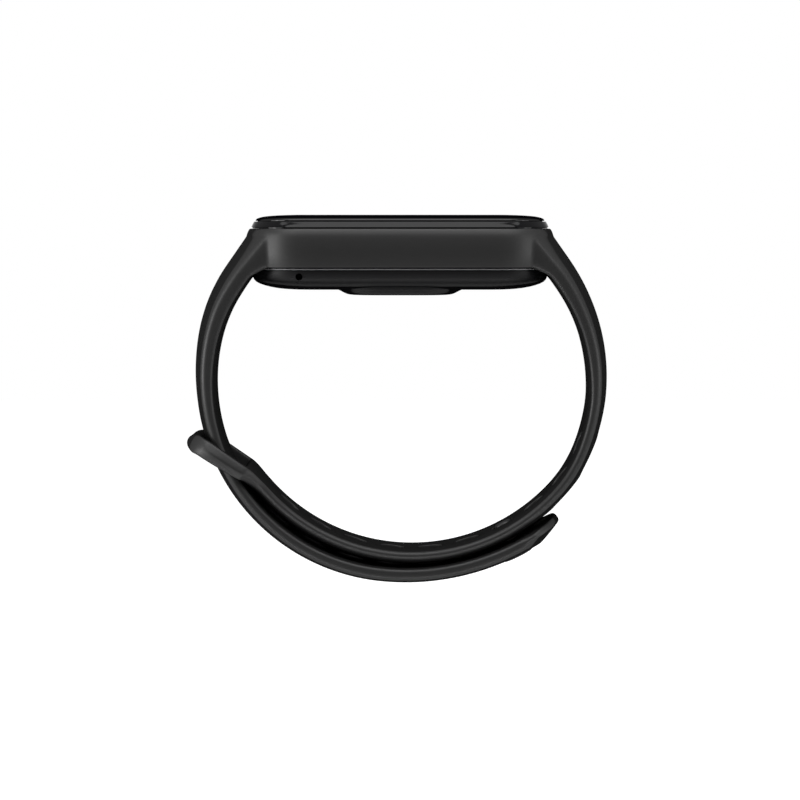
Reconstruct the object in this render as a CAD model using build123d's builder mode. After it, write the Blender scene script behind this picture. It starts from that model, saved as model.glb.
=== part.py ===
"""A wrist-worn fitness tracker: a sealed sensor capsule held in a one-piece silicone band.

Row frame, millimetres: the origin is the centre of the wrist opening, X runs along the capsule,
Y along the wearer's forearm, Z up through the display.  The band is closed round the wrist: the
stud strap runs down the -X side, through the keeper loop, and buttons into the hole strap.
"""

from build123d import *
import os
from math import atan, atan2, cos, degrees, radians, sin

os.makedirs("parts", exist_ok=True)

# ---------------------------------------------------------------- driving dimensions

# Capsule heights, from the glass down.
GLASS_TOP = 25.80
GLASS_UNDERSIDE = 24.85
BEZEL_TOP = 24.75
BEZEL_UNDERSIDE = 23.65
FLANGE_TOP = 18.00          # the rear case is wide below this and necked above it
CASE_BOTTOM = 14.05
SENSOR_FACE = 13.20         # skin side of the raised sensor island

# Capsule plan sizes: every outline is a slot, (overall length, overall width).
GLASS_PLAN = (45.6, 17.0)
BEZEL_PLAN = (47.0, 18.2)
FLANGE_PLAN = (46.6, 17.5)
NECK_PLAN = (44.6, 15.5)
CAVITY_PLAN = (42.6, 13.5)
ISLAND_PLAN = (19.4, 13.0)

# Band frame round the capsule.
FRAME_TOP = 23.60
FRAME_BOTTOM = 17.55
FRAME_PLAN = (48.6, 20.6)
FRAME_DRAFT = 0.5           # how much the frame closes in towards its top edge
POCKET_CLEARANCE = 0.1

# Straps.  Radii are from the centre of the arc that each stretch follows.
STRAP_WIDTH = 15.6
STRAP_CORNER = 0.42         # rounding along the four long corners
STRAP_CROWN = 1.30          # the outer face arches this far above the edges
STUD_STRAP_THICKNESS = 2.70
HOLE_STRAP_THICKNESS = 2.45
STUD_STRAP_RADIUS = 32.20   # crown radius about the wrist centre
TAIL_RADIUS = 39.60         # crown radius of the flatter free tail
TAIL_START = 262.0          # polar angle where the free tail's arc takes over
FLEX_ANGLE = 274.8          # on the tail's arc: where the tail end bends away
STUD_ANGLE = 296.6          # on the tail's arc: the fastening stud
TIP_ANGLE = 308.8
THIN_FROM_ANGLE = 302.9     # the tip is thinned from here for a fingertip

HOLE_STRAP_RADIUS = 29.95   # skin-side radius about the wrist centre
TURN_IN_RADIUS = 20.0       # short tighter bend that brings the strap under the tail
TURN_IN_FROM, TURN_IN_TO = -21.6, -43.1
UNDER_RADIUS = 30.08        # skin-side radius along the bottom
UNDER_TO = -144.0
HOLE_LENGTH, HOLE_WIDTH = 4.3, 3.5
HOLE_PITCH = 6.0
HOLES_TO_LOOP, HOLES_TO_FRAME = 6, 3    # on either side of the hole in use

# Keeper loop.
LOOP_ANGLE = 149.5          # the way the loop points, from +X towards +Z
LOOP_BEND_RADIUS = 5.0
LOOP_WIDTH = 20.0
LOOP_THICKNESS = 2.8
LOOP_BAR_RADIUS = 1.75
LOOP_BAR_AT = 8.45          # from the start of the loop to the bar's centre
LOOP_BAR_SINK = 1.06        # bar centre below the loop's skin-side face
LOOP_SLOT_START, LOOP_SLOT_END = 0.6, 7.0
PASS_CLEARANCE = 0.30       # round the stud strap, where it runs through the loop


def polar(radius, angle, centre=(0.0, 0.0)):
    """Point (x, z) at a polar angle, in degrees from +X towards +Z, about a centre."""
    return (centre[0] + radius * cos(radians(angle)), centre[1] + radius * sin(radians(angle)))


# Centres of the strap arcs, each tangent to the stretch before it.
WRIST_CENTRE = (0.0, 0.0)
TAIL_CENTRE = polar(STUD_STRAP_RADIUS - TAIL_RADIUS, TAIL_START)
TURN_IN_CENTRE = polar(HOLE_STRAP_RADIUS - TURN_IN_RADIUS, TURN_IN_FROM)
UNDER_CENTRE = polar(TURN_IN_RADIUS - UNDER_RADIUS, TURN_IN_TO, TURN_IN_CENTRE)
LOOP_BEND_CENTRE = polar(UNDER_RADIUS + LOOP_BEND_RADIUS, UNDER_TO, UNDER_CENTRE)
LOOP_START = polar(LOOP_BEND_RADIUS, LOOP_ANGLE - 90, LOOP_BEND_CENTRE)


# ---------------------------------------------------------------- shared helpers


def save(builder, name):
    """Label one finished piece and write it to its own STEP file."""
    builder.part.label = name
    export_step(builder.part, f"parts/{name}.step")


def grown(plan, margin):
    """A slot plan (length, width) with its outline moved out by margin on every side."""
    return (plan[0] + 2 * margin, plan[1] + 2 * margin)


def slab(plan, low, high, x=0.0, mode=Mode.ADD):
    """Slot-shaped plate between two heights, in the current part."""
    with BuildSketch(Plane.XY.offset(low)) as outline:
        with Locations((x, 0)):
            SlotOverall(*plan)
    extrude(outline.sketch, amount=high - low, mode=mode)


def block(x_span, y_span, z_span, mode=Mode.ADD):
    """Rectangular block given by its spans, in the current part."""
    with BuildSketch(Plane.XY.offset(z_span[0])) as outline:
        with Locations(((x_span[0] + x_span[1]) / 2, (y_span[0] + y_span[1]) / 2)):
            Rectangle(x_span[1] - x_span[0], y_span[1] - y_span[0])
    extrude(outline.sketch, amount=z_span[1] - z_span[0], mode=mode)


def disc(radius, low, high, at=(0.0, 0.0), mode=Mode.ADD):
    """Round plate between two heights, in the current part."""
    with BuildSketch(Plane.XY.offset(low)) as outline:
        with Locations(at):
            Circle(radius)
    extrude(outline.sketch, amount=high - low, mode=mode)


def section_plane(centre, angle):
    """Plane across a strap: its x is the distance from the arc's centre and its y is the row's Y."""
    return Plane(
        origin=(centre[0], 0, centre[1]),
        x_dir=(cos(radians(angle)), 0, sin(radians(angle))),
        z_dir=(-sin(radians(angle)), 0, cos(radians(angle))),
    )


def strap_section(centre, angle, skin, edge, crown, width=STRAP_WIDTH, corner=STRAP_CORNER):
    """Sketch of a strap's cross-section: flat skin side, short edges and an arched outer face."""
    with BuildSketch(section_plane(centre, angle)) as section:
        with BuildLine():
            Line((skin, width / 2), (skin, -width / 2))
            Line((skin, -width / 2), (edge, -width / 2))
            ThreePointArc((edge, -width / 2), (crown, 0), (edge, width / 2))
            Line((edge, width / 2), (skin, width / 2))
        make_face()
        fillet(section.vertices(), radius=corner)
    return section.sketch


def swing(section, centre, sweep, mode=Mode.ADD):
    """Revolve a section round an arc's centre; a positive sweep turns from +X towards +Z."""
    direction = (0, -1, 0) if sweep > 0 else (0, 1, 0)
    revolve(section, axis=Axis((centre[0], 0, centre[1]), direction), revolution_arc=abs(sweep), mode=mode)


def strap_stretch(centre, crown, thickness, start, end, width=STRAP_WIDTH):
    """A stretch of strap with a constant section, along one arc, in the current part."""
    section = strap_section(centre, start, crown - thickness, crown - STRAP_CROWN, crown, width)
    swing(section, centre, end - start)


def strap_root(stations):
    """The thick root of a strap, lofted through (angle, skin, edge, crown) about the wrist centre."""
    loft([strap_section(WRIST_CENTRE, angle, skin, edge, crown) for angle, skin, edge, crown in stations])


def face_plane(centre, radius, angle):
    """Plane on a strap's face: its x runs along the strap and its z points outwards."""
    at = polar(radius, angle, centre)
    return Plane(
        origin=(at[0], 0, at[1]),
        x_dir=(-sin(radians(angle)), 0, cos(radians(angle))),
        z_dir=(cos(radians(angle)), 0, sin(radians(angle))),
    )


# ---------------------------------------------------------------- band: frame and grip lip


def frame_body(mode=Mode.ADD):
    """Outer block of the frame, closing in by its draft towards the top, in the current part."""
    height = FRAME_TOP - FRAME_BOTTOM
    with BuildSketch(Plane.XY.offset(FRAME_BOTTOM)) as outline:
        SlotOverall(*FRAME_PLAN)
    extrude(outline.sketch, amount=height, taper=degrees(atan(FRAME_DRAFT / height)), mode=mode)


POCKET_PLAN = grown(FLANGE_PLAN, POCKET_CLEARANCE)
POCKET_BOTTOM = 10.0

with BuildPart() as strap_frame:
    frame_body()
    fillet(strap_frame.faces().sort_by(Axis.Z)[0].edges(), radius=0.4)
    slab(POCKET_PLAN, FRAME_BOTTOM - 1, FRAME_TOP + 1, mode=Mode.SUBTRACT)
save(strap_frame, "strap_frame")

# Soft inner bead that sits in the capsule's neck and stretches when the capsule is pushed out.
LIP_GAP = 0.05
with BuildPart() as capsule_grip_lip:
    slab(POCKET_PLAN, FLANGE_TOP + 0.15, FRAME_TOP - 0.1)
    slab(grown(NECK_PLAN, LIP_GAP), FLANGE_TOP, FRAME_TOP, mode=Mode.SUBTRACT)
save(capsule_grip_lip, "capsule_grip_lip")


# ---------------------------------------------------------------- band: stud strap

# (angle, skin side, outer corner, crown): thick at the frame and thinning down the side.
STUD_ROOT = [
    (134.5, 26.60, 30.70, 32.85),
    (144.7, 27.90, 30.75, 32.85),
    (152.0, 28.85, 30.80, 32.80),
    (160.0, 29.15, 30.85, 32.70),
    (172.0, 29.35, 30.90, 32.40),
    (185.0, STUD_STRAP_RADIUS - STUD_STRAP_THICKNESS, STUD_STRAP_RADIUS - STRAP_CROWN, STUD_STRAP_RADIUS),
]


def clear_of_frame():
    """Cut the frame's block and the capsule's pocket away from the strap root being built."""
    frame_body(mode=Mode.SUBTRACT)
    slab(POCKET_PLAN, POCKET_BOTTOM, FRAME_BOTTOM + 1, mode=Mode.SUBTRACT)


with BuildPart() as stud_strap:
    strap_root(STUD_ROOT)
    clear_of_frame()
    strap_stretch(WRIST_CENTRE, STUD_STRAP_RADIUS, STUD_STRAP_THICKNESS, STUD_ROOT[-1][0], TAIL_START)
    strap_stretch(TAIL_CENTRE, TAIL_RADIUS, STUD_STRAP_THICKNESS, TAIL_START, FLEX_ANGLE)
save(stud_strap, "stud_strap")

# The tail end bends away at FLEX_ANGLE; the two pieces meet on the plane through the bend.
CUT_GAP_DEG = 0.05
TIP_THICKNESS = 1.5
TIP_ROUNDING = 8.4
STUD_CAP_RADIUS, STUD_CAP_DEPTH = 2.6, 0.6
STUD_NECK_RADIUS = 1.25
TAIL_SKIN = TAIL_RADIUS - STUD_STRAP_THICKNESS

with BuildPart() as stud_strap_end:
    strap_stretch(TAIL_CENTRE, TAIL_RADIUS, STUD_STRAP_THICKNESS, FLEX_ANGLE + CUT_GAP_DEG, TIP_ANGLE)
    # Round the tip in plan.
    with BuildSketch(face_plane(TAIL_CENTRE, TAIL_SKIN - 12, TIP_ANGLE)) as tip_plan:
        Rectangle(60, STRAP_WIDTH + 2, align=(Align.MAX, Align.CENTER))
        fillet(tip_plan.vertices().group_by(Axis.X)[-1], radius=TIP_ROUNDING)
    extrude(amount=20, mode=Mode.INTERSECT)
    # Thin the tip from outside, on a flat that runs from the kink to the end.
    kink = polar(TAIL_RADIUS, THIN_FROM_ANGLE, TAIL_CENTRE)
    end = polar(TAIL_SKIN + TIP_THICKNESS, TIP_ANGLE, TAIL_CENTRE)
    beyond = (end[0] + (end[0] - kink[0]), end[1] + (end[1] - kink[1]))
    outside = polar(TAIL_RADIUS + 8, TIP_ANGLE, TAIL_CENTRE)
    with BuildSketch(Plane.XZ.offset(-STRAP_WIDTH)):
        with BuildLine():
            Polyline(kink, beyond, outside, kink)
        make_face()
    extrude(amount=2 * STRAP_WIDTH, mode=Mode.SUBTRACT)
    # Seat for the stud: a hole through the tail and a shallow recess for its cap.
    with BuildSketch(face_plane(TAIL_CENTRE, TAIL_SKIN - 1, STUD_ANGLE)):
        Circle(STUD_NECK_RADIUS + 0.02)
    extrude(amount=6, mode=Mode.SUBTRACT)
    with BuildSketch(face_plane(TAIL_CENTRE, TAIL_RADIUS - STUD_CAP_DEPTH, STUD_ANGLE)):
        Circle(STUD_CAP_RADIUS + 0.02)
    extrude(amount=3, mode=Mode.SUBTRACT)
save(stud_strap_end, "stud_strap_end")


# ---------------------------------------------------------------- fastening stud

STUD_HEAD_RADIUS = 1.60
STUD_HEAD_HEIGHT = 1.1
STUD_REACH = 6.00           # from the cap's face to the tip of the head
CAP_STANDS_PROUD = 0.12

with BuildPart() as fastening_stud:
    neck_foot = TAIL_RADIUS - STUD_CAP_DEPTH
    head_tip = TAIL_RADIUS - STUD_REACH
    with BuildSketch(face_plane(TAIL_CENTRE, head_tip, STUD_ANGLE)):
        Circle(STUD_HEAD_RADIUS)
    extrude(amount=STUD_HEAD_HEIGHT)
    dome = fastening_stud.faces().sort_by(Axis((0, 0, 0), face_plane(TAIL_CENTRE, 0, STUD_ANGLE).z_dir))[0]
    fillet(dome.edges(), radius=0.7)
    with BuildSketch(face_plane(TAIL_CENTRE, head_tip + STUD_HEAD_HEIGHT, STUD_ANGLE)):
        Circle(STUD_NECK_RADIUS)
    extrude(amount=neck_foot - head_tip - STUD_HEAD_HEIGHT)
save(fastening_stud, "fastening_stud")

with BuildPart() as stud_cap:
    with BuildSketch(face_plane(TAIL_CENTRE, neck_foot, STUD_ANGLE)):
        Circle(STUD_CAP_RADIUS)
    extrude(amount=STUD_CAP_DEPTH + CAP_STANDS_PROUD)
    crown_edge = stud_cap.faces().sort_by(Axis((0, 0, 0), face_plane(TAIL_CENTRE, 0, STUD_ANGLE).z_dir))[-1]
    fillet(crown_edge.edges(), radius=0.2)
save(stud_cap, "stud_cap")


# ---------------------------------------------------------------- band: hole strap

HOLE_CROWN = UNDER_RADIUS + HOLE_STRAP_THICKNESS
THIN_FROM = HOLE_STRAP_RADIUS + HOLE_STRAP_THICKNESS
HOLE_ROOT = [
    (45.5, 26.60, 30.70, 32.85),
    (35.3, 27.80, 30.80, 32.80),
    (28.0, 28.70, 30.90, 32.75),
    (20.0, 29.20, 31.00, 32.70),
    (8.0, 29.65, 31.20, 32.65),
    (-6.0, 29.90, 31.25, 32.60),
    (TURN_IN_FROM, HOLE_STRAP_RADIUS, THIN_FROM - STRAP_CROWN, THIN_FROM),
]

# Where the stud's axis meets the hole strap, as an angle about the strap's own centre.
STUD_NECK = polar(TAIL_SKIN - HOLE_STRAP_THICKNESS / 2, STUD_ANGLE, TAIL_CENTRE)
STUD_HOLE_ANGLE = degrees(atan2(STUD_NECK[1] - UNDER_CENTRE[1], STUD_NECK[0] - UNDER_CENTRE[0]))


def hole_seat(distance):
    """Arc centre, skin radius and angle at a distance from the stud along the hole strap."""
    to_turn_in = radians(TURN_IN_TO - STUD_HOLE_ANGLE) * UNDER_RADIUS
    to_wrist = to_turn_in + radians(TURN_IN_FROM - TURN_IN_TO) * TURN_IN_RADIUS
    if distance < to_turn_in:
        return UNDER_CENTRE, UNDER_RADIUS, STUD_HOLE_ANGLE + degrees(distance / UNDER_RADIUS)
    if distance < to_wrist:
        turned = degrees((distance - to_turn_in) / TURN_IN_RADIUS)
        return TURN_IN_CENTRE, TURN_IN_RADIUS, TURN_IN_TO + turned
    return WRIST_CENTRE, HOLE_STRAP_RADIUS, TURN_IN_FROM + degrees((distance - to_wrist) / HOLE_STRAP_RADIUS)


def strap_hole(distance):
    """One oblong hole through the hole strap, in the current part."""
    centre, radius, angle = hole_seat(distance)
    with BuildSketch(face_plane(centre, radius - 1, angle)) as outline:
        SlotOverall(HOLE_LENGTH, HOLE_WIDTH)
    extrude(outline.sketch, amount=HOLE_STRAP_THICKNESS + 2, mode=Mode.SUBTRACT)


with BuildPart() as hole_strap:
    strap_root(HOLE_ROOT)
    clear_of_frame()
    strap_stretch(
        TURN_IN_CENTRE, TURN_IN_RADIUS + HOLE_STRAP_THICKNESS, HOLE_STRAP_THICKNESS, TURN_IN_FROM, TURN_IN_TO
    )
    strap_stretch(UNDER_CENTRE, HOLE_CROWN, HOLE_STRAP_THICKNESS, TURN_IN_TO, UNDER_TO)
    # The last bend turns outwards, so its section is drawn from the other side.
    bend_start = strap_section(
        LOOP_BEND_CENTRE,
        UNDER_TO + 180,
        LOOP_BEND_RADIUS,
        LOOP_BEND_RADIUS - HOLE_STRAP_THICKNESS + STRAP_CROWN,
        LOOP_BEND_RADIUS - HOLE_STRAP_THICKNESS,
    )
    swing(bend_start, LOOP_BEND_CENTRE, LOOP_ANGLE - 90 - (UNDER_TO + 180))
    for step in range(-HOLES_TO_LOOP, HOLES_TO_FRAME + 1):
        strap_hole(step * HOLE_PITCH)
save(hole_strap, "hole_strap")


# ---------------------------------------------------------------- band: keeper loop

LOOP_PLANE = Plane(
    origin=(LOOP_START[0], 0, LOOP_START[1]),
    x_dir=(cos(radians(LOOP_ANGLE)), 0, sin(radians(LOOP_ANGLE))),
    z_dir=(cos(radians(LOOP_ANGLE - 90)), 0, sin(radians(LOOP_ANGLE - 90))),
)
LOOP_FLARE = 2.4            # over this length the loop widens from the strap's width
LOOP_CORNER = 6.0
LOOP_END = LOOP_BAR_AT + LOOP_BAR_RADIUS

with BuildPart() as strap_loop:
    # Side silhouette: a flat run that ends in the round bar; its y points outwards.
    with BuildSketch(Plane(origin=LOOP_PLANE.origin, x_dir=LOOP_PLANE.x_dir, z_dir=(0, -1, 0))):
        Rectangle(LOOP_BAR_AT, LOOP_THICKNESS, align=(Align.MIN, Align.MIN))
        with Locations((LOOP_BAR_AT, LOOP_BAR_SINK)):
            Circle(LOOP_BAR_RADIUS)
    extrude(amount=LOOP_WIDTH, both=True)
    # Plan outline: flares out from the strap, with rounded far corners.
    with BuildSketch(LOOP_PLANE.offset(-6)):
        with BuildLine():
            Polyline(
                (0, -STRAP_WIDTH / 2),
                (LOOP_FLARE, -LOOP_WIDTH / 2),
                (LOOP_END, -LOOP_WIDTH / 2),
                (LOOP_END, LOOP_WIDTH / 2),
                (LOOP_FLARE, LOOP_WIDTH / 2),
                (0, STRAP_WIDTH / 2),
                close=True,
            )
        plan = make_face()
        fillet(plan.vertices().group_by(Axis.X)[-1], radius=LOOP_CORNER)
    extrude(amount=12, mode=Mode.INTERSECT)
    # Slot for the stud strap, and the strap's own path with clearance all round.
    with BuildSketch(LOOP_PLANE.offset(-6)):
        with Locations(((LOOP_SLOT_START + LOOP_SLOT_END) / 2, 0)):
            Rectangle(LOOP_SLOT_END - LOOP_SLOT_START, STRAP_WIDTH + 2 * PASS_CLEARANCE)
    extrude(amount=12, mode=Mode.SUBTRACT)
    passing = strap_section(
        WRIST_CENTRE,
        180,
        STUD_STRAP_RADIUS - STUD_STRAP_THICKNESS - PASS_CLEARANCE,
        STUD_STRAP_RADIUS - STRAP_CROWN + PASS_CLEARANCE,
        STUD_STRAP_RADIUS + PASS_CLEARANCE,
        STRAP_WIDTH + 2 * PASS_CLEARANCE,
    )
    swing(passing, WRIST_CENTRE, 50, mode=Mode.SUBTRACT)
save(strap_loop, "strap_loop")


# ---------------------------------------------------------------- capsule: glass, display and bezel

BEZEL_DRAFT = 0.5           # the bezel's flank leans in by this much from bottom to top
SEAL = 0.1                  # thickness of the seal and adhesive rings

# The glass edge rolls off: (height, how far the outline has drawn in).
GLASS_EDGE = [(GLASS_UNDERSIDE, 0), (25.15, 0.15), (25.41, 0.75), (25.55, 1.3), (25.66, 2.8), (25.74, 4.6)]


def stacked_slots(plan, levels, mode=Mode.ADD):
    """Solid lofted through slot outlines, each drawn in from the plan at its height."""
    outlines = []
    for height, drawn_in in levels:
        with BuildSketch(Plane.XY.offset(height)) as outline:
            SlotOverall(*grown(plan, -drawn_in))
        outlines.append(outline.sketch)
    loft(outlines, ruled=True, mode=mode)


with BuildPart() as cover_glass:
    stacked_slots(GLASS_PLAN, GLASS_EDGE + [(GLASS_TOP, 6.4)])
save(cover_glass, "cover_glass")

with BuildPart() as glass_seal:
    slab(grown(CAVITY_PLAN, 1.2), BEZEL_TOP, GLASS_UNDERSIDE)
    slab(grown(CAVITY_PLAN, -0.2), BEZEL_TOP, GLASS_UNDERSIDE, mode=Mode.SUBTRACT)
save(glass_seal, "glass_seal")

with BuildPart() as front_bezel:
    bezel_height = BEZEL_TOP - BEZEL_UNDERSIDE
    with BuildSketch(Plane.XY.offset(BEZEL_UNDERSIDE)):
        SlotOverall(*grown(BEZEL_PLAN, 0.1))
    extrude(amount=bezel_height, taper=degrees(atan(BEZEL_DRAFT / bezel_height)))
    fillet(front_bezel.faces().sort_by(Axis.Z)[-1].edges(), radius=0.15)
    slab(CAVITY_PLAN, BEZEL_UNDERSIDE - 1, BEZEL_TOP + 1, mode=Mode.SUBTRACT)
save(front_bezel, "front_bezel")

with BuildPart() as touch_film:
    slab(grown(CAVITY_PLAN, -0.4), BEZEL_TOP, GLASS_UNDERSIDE)
save(touch_film, "touch_film")

PANEL = ((-15.5, 15.5), (-6.2, 6.2))
PANEL_UNDERSIDE = 24.15
TRAY_TOP, TRAY_UNDERSIDE = 24.0, 23.7
with BuildPart() as display_panel:
    block(*PANEL, (PANEL_UNDERSIDE, BEZEL_TOP))
save(display_panel, "display_panel")

with BuildPart() as display_foam:
    block((-14.5, 14.5), (-5.4, 5.4), (TRAY_TOP, PANEL_UNDERSIDE))
save(display_foam, "display_foam")

with BuildPart() as display_tray:
    slab(grown(CAVITY_PLAN, -0.1), TRAY_UNDERSIDE, TRAY_TOP)
    block((-19.6, -16.4), (-3.6, 3.6), (TRAY_UNDERSIDE - 1, TRAY_TOP + 1), mode=Mode.SUBTRACT)
save(display_tray, "display_tray")


# ---------------------------------------------------------------- capsule: rear case

CASE_TOP = BEZEL_UNDERSIDE - SEAL
FLOOR_TOP = 15.10
# The underside rolls up like a boat's hull: (height, how far the outline has drawn in).
HULL = [(CASE_BOTTOM, 4.8), (14.17, 3.5), (14.62, 1.9), (15.05, 0.8), (15.50, 0.0)]
CAVITY_FOOT = [(FLOOR_TOP, 1.5), (15.75, 0.0)]
ISLAND = [(14.90, 0.0), (14.30, 0.15), (13.80, 0.7), (13.45, 1.15), (13.28, 1.45), (SENSOR_FACE, 1.8)]
WINDOW_PLAN = (13.0, 8.2)
WINDOW_TOP = 14.05
WELL_PLAN = (11.6, 6.8)     # opening above the window, for the light barrier
CONTACT_AT = [(14.0, -2.0), (14.0, 2.0)]
CONTACT_HEAD_RADIUS, CONTACT_PIN_RADIUS = 1.1, 0.6
MIC_X, MIC_Z, MIC_HOLE_RADIUS = -15.7, 16.15, 0.55

with BuildPart() as rear_case:
    stacked_slots(FLANGE_PLAN, HULL)
    slab(FLANGE_PLAN, HULL[-1][0], FLANGE_TOP)
    fillet(rear_case.faces().sort_by(Axis.Z)[-1].edges(), radius=0.3)
    slab(NECK_PLAN, FLANGE_TOP, CASE_TOP)
    stacked_slots(ISLAND_PLAN, ISLAND)
    stacked_slots(CAVITY_PLAN, CAVITY_FOOT, mode=Mode.SUBTRACT)
    slab(CAVITY_PLAN, CAVITY_FOOT[-1][0], CASE_TOP + 1, mode=Mode.SUBTRACT)
    slab(grown(WINDOW_PLAN, 0.05), SENSOR_FACE - 1, WINDOW_TOP, mode=Mode.SUBTRACT)
    slab(WELL_PLAN, WINDOW_TOP - 0.5, FLOOR_TOP + 0.5, mode=Mode.SUBTRACT)
    for seat in CONTACT_AT:
        disc(CONTACT_HEAD_RADIUS + 0.02, CASE_BOTTOM - 1, CASE_BOTTOM + 0.5, seat, mode=Mode.SUBTRACT)
        disc(CONTACT_PIN_RADIUS + 0.02, CASE_BOTTOM, FLOOR_TOP + 0.5, seat, mode=Mode.SUBTRACT)
    with BuildSketch(Plane(origin=(MIC_X, 0, MIC_Z), x_dir=(1, 0, 0), z_dir=(0, -1, 0))):
        Circle(MIC_HOLE_RADIUS)
    extrude(amount=12, mode=Mode.SUBTRACT)
save(rear_case, "rear_case")

with BuildPart() as case_seal:
    slab(grown(NECK_PLAN, -0.1), CASE_TOP, BEZEL_UNDERSIDE)
    slab(grown(CAVITY_PLAN, 0.1), CASE_TOP, BEZEL_UNDERSIDE, mode=Mode.SUBTRACT)
save(case_seal, "case_seal")

with BuildPart() as sensor_window:
    slab(WINDOW_PLAN, SENSOR_FACE + 0.03, WINDOW_TOP)
save(sensor_window, "sensor_window")


# ---------------------------------------------------------------- capsule: heart-rate sensor

SENSOR_BOARD_UNDERSIDE, SENSOR_BOARD_TOP = 15.20, 15.80
LED_AT = [(-3.7, -1.4), (-3.7, 1.4), (3.7, -1.4), (3.7, 1.4)]
LED_SIZE, LED_HEIGHT = (1.6, 1.0), 0.55
DIODE_SIZE, DIODE_HEIGHT = (2.9, 2.9), 0.5
OPTICS_CLEARANCE = 0.2


def box_at(centre, size, low, high, mode=Mode.ADD):
    """Rectangular block centred at (x, y), in the current part."""
    block(
        (centre[0] - size[0] / 2, centre[0] + size[0] / 2),
        (centre[1] - size[1] / 2, centre[1] + size[1] / 2),
        (low, high),
        mode=mode,
    )


with BuildPart() as sensor_board:
    block((-10.8, 16.0), (-4.4, 4.4), (SENSOR_BOARD_UNDERSIDE, SENSOR_BOARD_TOP))
save(sensor_board, "sensor_board")

with BuildPart() as light_barrier:
    slab(grown(WELL_PLAN, -0.05), WINDOW_TOP + 0.05, SENSOR_BOARD_UNDERSIDE - 0.02)
    for led_x in (LED_AT[0][0], LED_AT[-1][0]):
        box_at((led_x, 0), (2.0, 4.4), WINDOW_TOP - 1, SENSOR_BOARD_UNDERSIDE, mode=Mode.SUBTRACT)
    diode_well = grown(DIODE_SIZE, OPTICS_CLEARANCE)
    box_at((0, 0), diode_well, WINDOW_TOP - 1, SENSOR_BOARD_UNDERSIDE, mode=Mode.SUBTRACT)
save(light_barrier, "light_barrier")

for number, led_centre in enumerate(LED_AT, start=1):
    with BuildPart() as green_led:
        box_at(led_centre, LED_SIZE, SENSOR_BOARD_UNDERSIDE - LED_HEIGHT, SENSOR_BOARD_UNDERSIDE)
    save(green_led, f"green_led_{number}")

with BuildPart() as photodiode:
    box_at((0, 0), DIODE_SIZE, SENSOR_BOARD_UNDERSIDE - DIODE_HEIGHT, SENSOR_BOARD_UNDERSIDE)
save(photodiode, "photodiode")

with BuildPart() as sensor_chip:
    box_at((4.0, 0), (3.2, 3.2), SENSOR_BOARD_TOP, SENSOR_BOARD_TOP + 0.65)
save(sensor_chip, "sensor_chip")

for number, contact_centre in enumerate(CONTACT_AT, start=1):
    with BuildPart() as charging_contact:
        disc(CONTACT_HEAD_RADIUS, CASE_BOTTOM + 0.05, CASE_BOTTOM + 0.5, contact_centre)
        fillet(charging_contact.faces().sort_by(Axis.Z)[0].edges(), radius=0.12)
        disc(CONTACT_PIN_RADIUS, CASE_BOTTOM + 0.5, SENSOR_BOARD_UNDERSIDE, contact_centre)
    save(charging_contact, f"charging_contact_{number}")

for number, magnet_x in enumerate((-17.6, 17.9), start=1):
    with BuildPart() as dock_magnet:
        disc(1.3, FLOOR_TOP, FLOOR_TOP + 1.2, (magnet_x, 0))
    save(dock_magnet, f"dock_magnet_{number}")


# ---------------------------------------------------------------- capsule: battery and main board

FRAME_LOW, FRAME_HIGH = 17.40, 21.40
CELL = ((-12.6, 12.2), (-5.95, 5.95))
CELL_LOW, CELL_HIGH = 16.95, 21.25
MOTOR_X, MOTOR_RADIUS = 16.8, 4.0
BOARD_UNDERSIDE, BOARD_TOP = 22.40, 23.05

with BuildPart() as mid_frame:
    slab(grown(CAVITY_PLAN, -0.1), FRAME_LOW, FRAME_HIGH)
    block((-14.4, 12.3), (-6.05, 6.05), (FRAME_LOW - 1, FRAME_HIGH + 1), mode=Mode.SUBTRACT)
    disc(MOTOR_RADIUS + 0.1, FRAME_LOW - 1, FRAME_HIGH + 1, (MOTOR_X, 0), mode=Mode.SUBTRACT)
    slab((11.0, 10.4), FRAME_LOW - 1, FRAME_HIGH + 1, x=-15.0, mode=Mode.SUBTRACT)
save(mid_frame, "mid_frame")

with BuildPart() as battery_cell:
    block(*CELL, (CELL_LOW, CELL_HIGH))
    fillet(battery_cell.edges().filter_by(Axis.X), radius=0.9)
save(battery_cell, "battery_cell")

with BuildPart() as battery_pad:
    block((-11.5, 2.0), (-4.0, 4.0), (SENSOR_BOARD_TOP, CELL_LOW))
save(battery_pad, "battery_pad")

with BuildPart() as battery_board:
    block((-13.25, -12.65), (-5.4, 5.4), (17.5, 20.7))
save(battery_board, "battery_board")

with BuildPart() as main_board:
    slab(grown(CAVITY_PLAN, -0.4), BOARD_UNDERSIDE, BOARD_TOP)
save(main_board, "main_board")

# Components under the board: name, centre, size, height.
COMPONENTS = [
    ("flash_memory", (2.6, 2.6), (4.0, 3.0), 0.6),
    ("power_chip", (2.6, -2.4), (2.6, 2.6), 0.6),
    ("motion_sensor", (7.2, 0.0), (2.5, 3.0), 0.8),
    ("display_connector", (11.4, 0.0), (1.8, 6.4), 0.7),
    ("processor", (-5.6, 0.0), (5.0, 5.0), 0.55),
]
for component, centre, size, height in COMPONENTS:
    with BuildPart() as chip:
        box_at(centre, size, BOARD_UNDERSIDE - height, BOARD_UNDERSIDE)
    save(chip, component)

with BuildPart() as radio_shield:
    box_at((-5.6, 0), (7.4, 8.0), BOARD_UNDERSIDE - 0.95, BOARD_UNDERSIDE)
    box_at((-5.6, 0), (7.1, 7.7), BOARD_UNDERSIDE - 0.80, BOARD_UNDERSIDE, mode=Mode.SUBTRACT)
save(radio_shield, "radio_shield")


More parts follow.
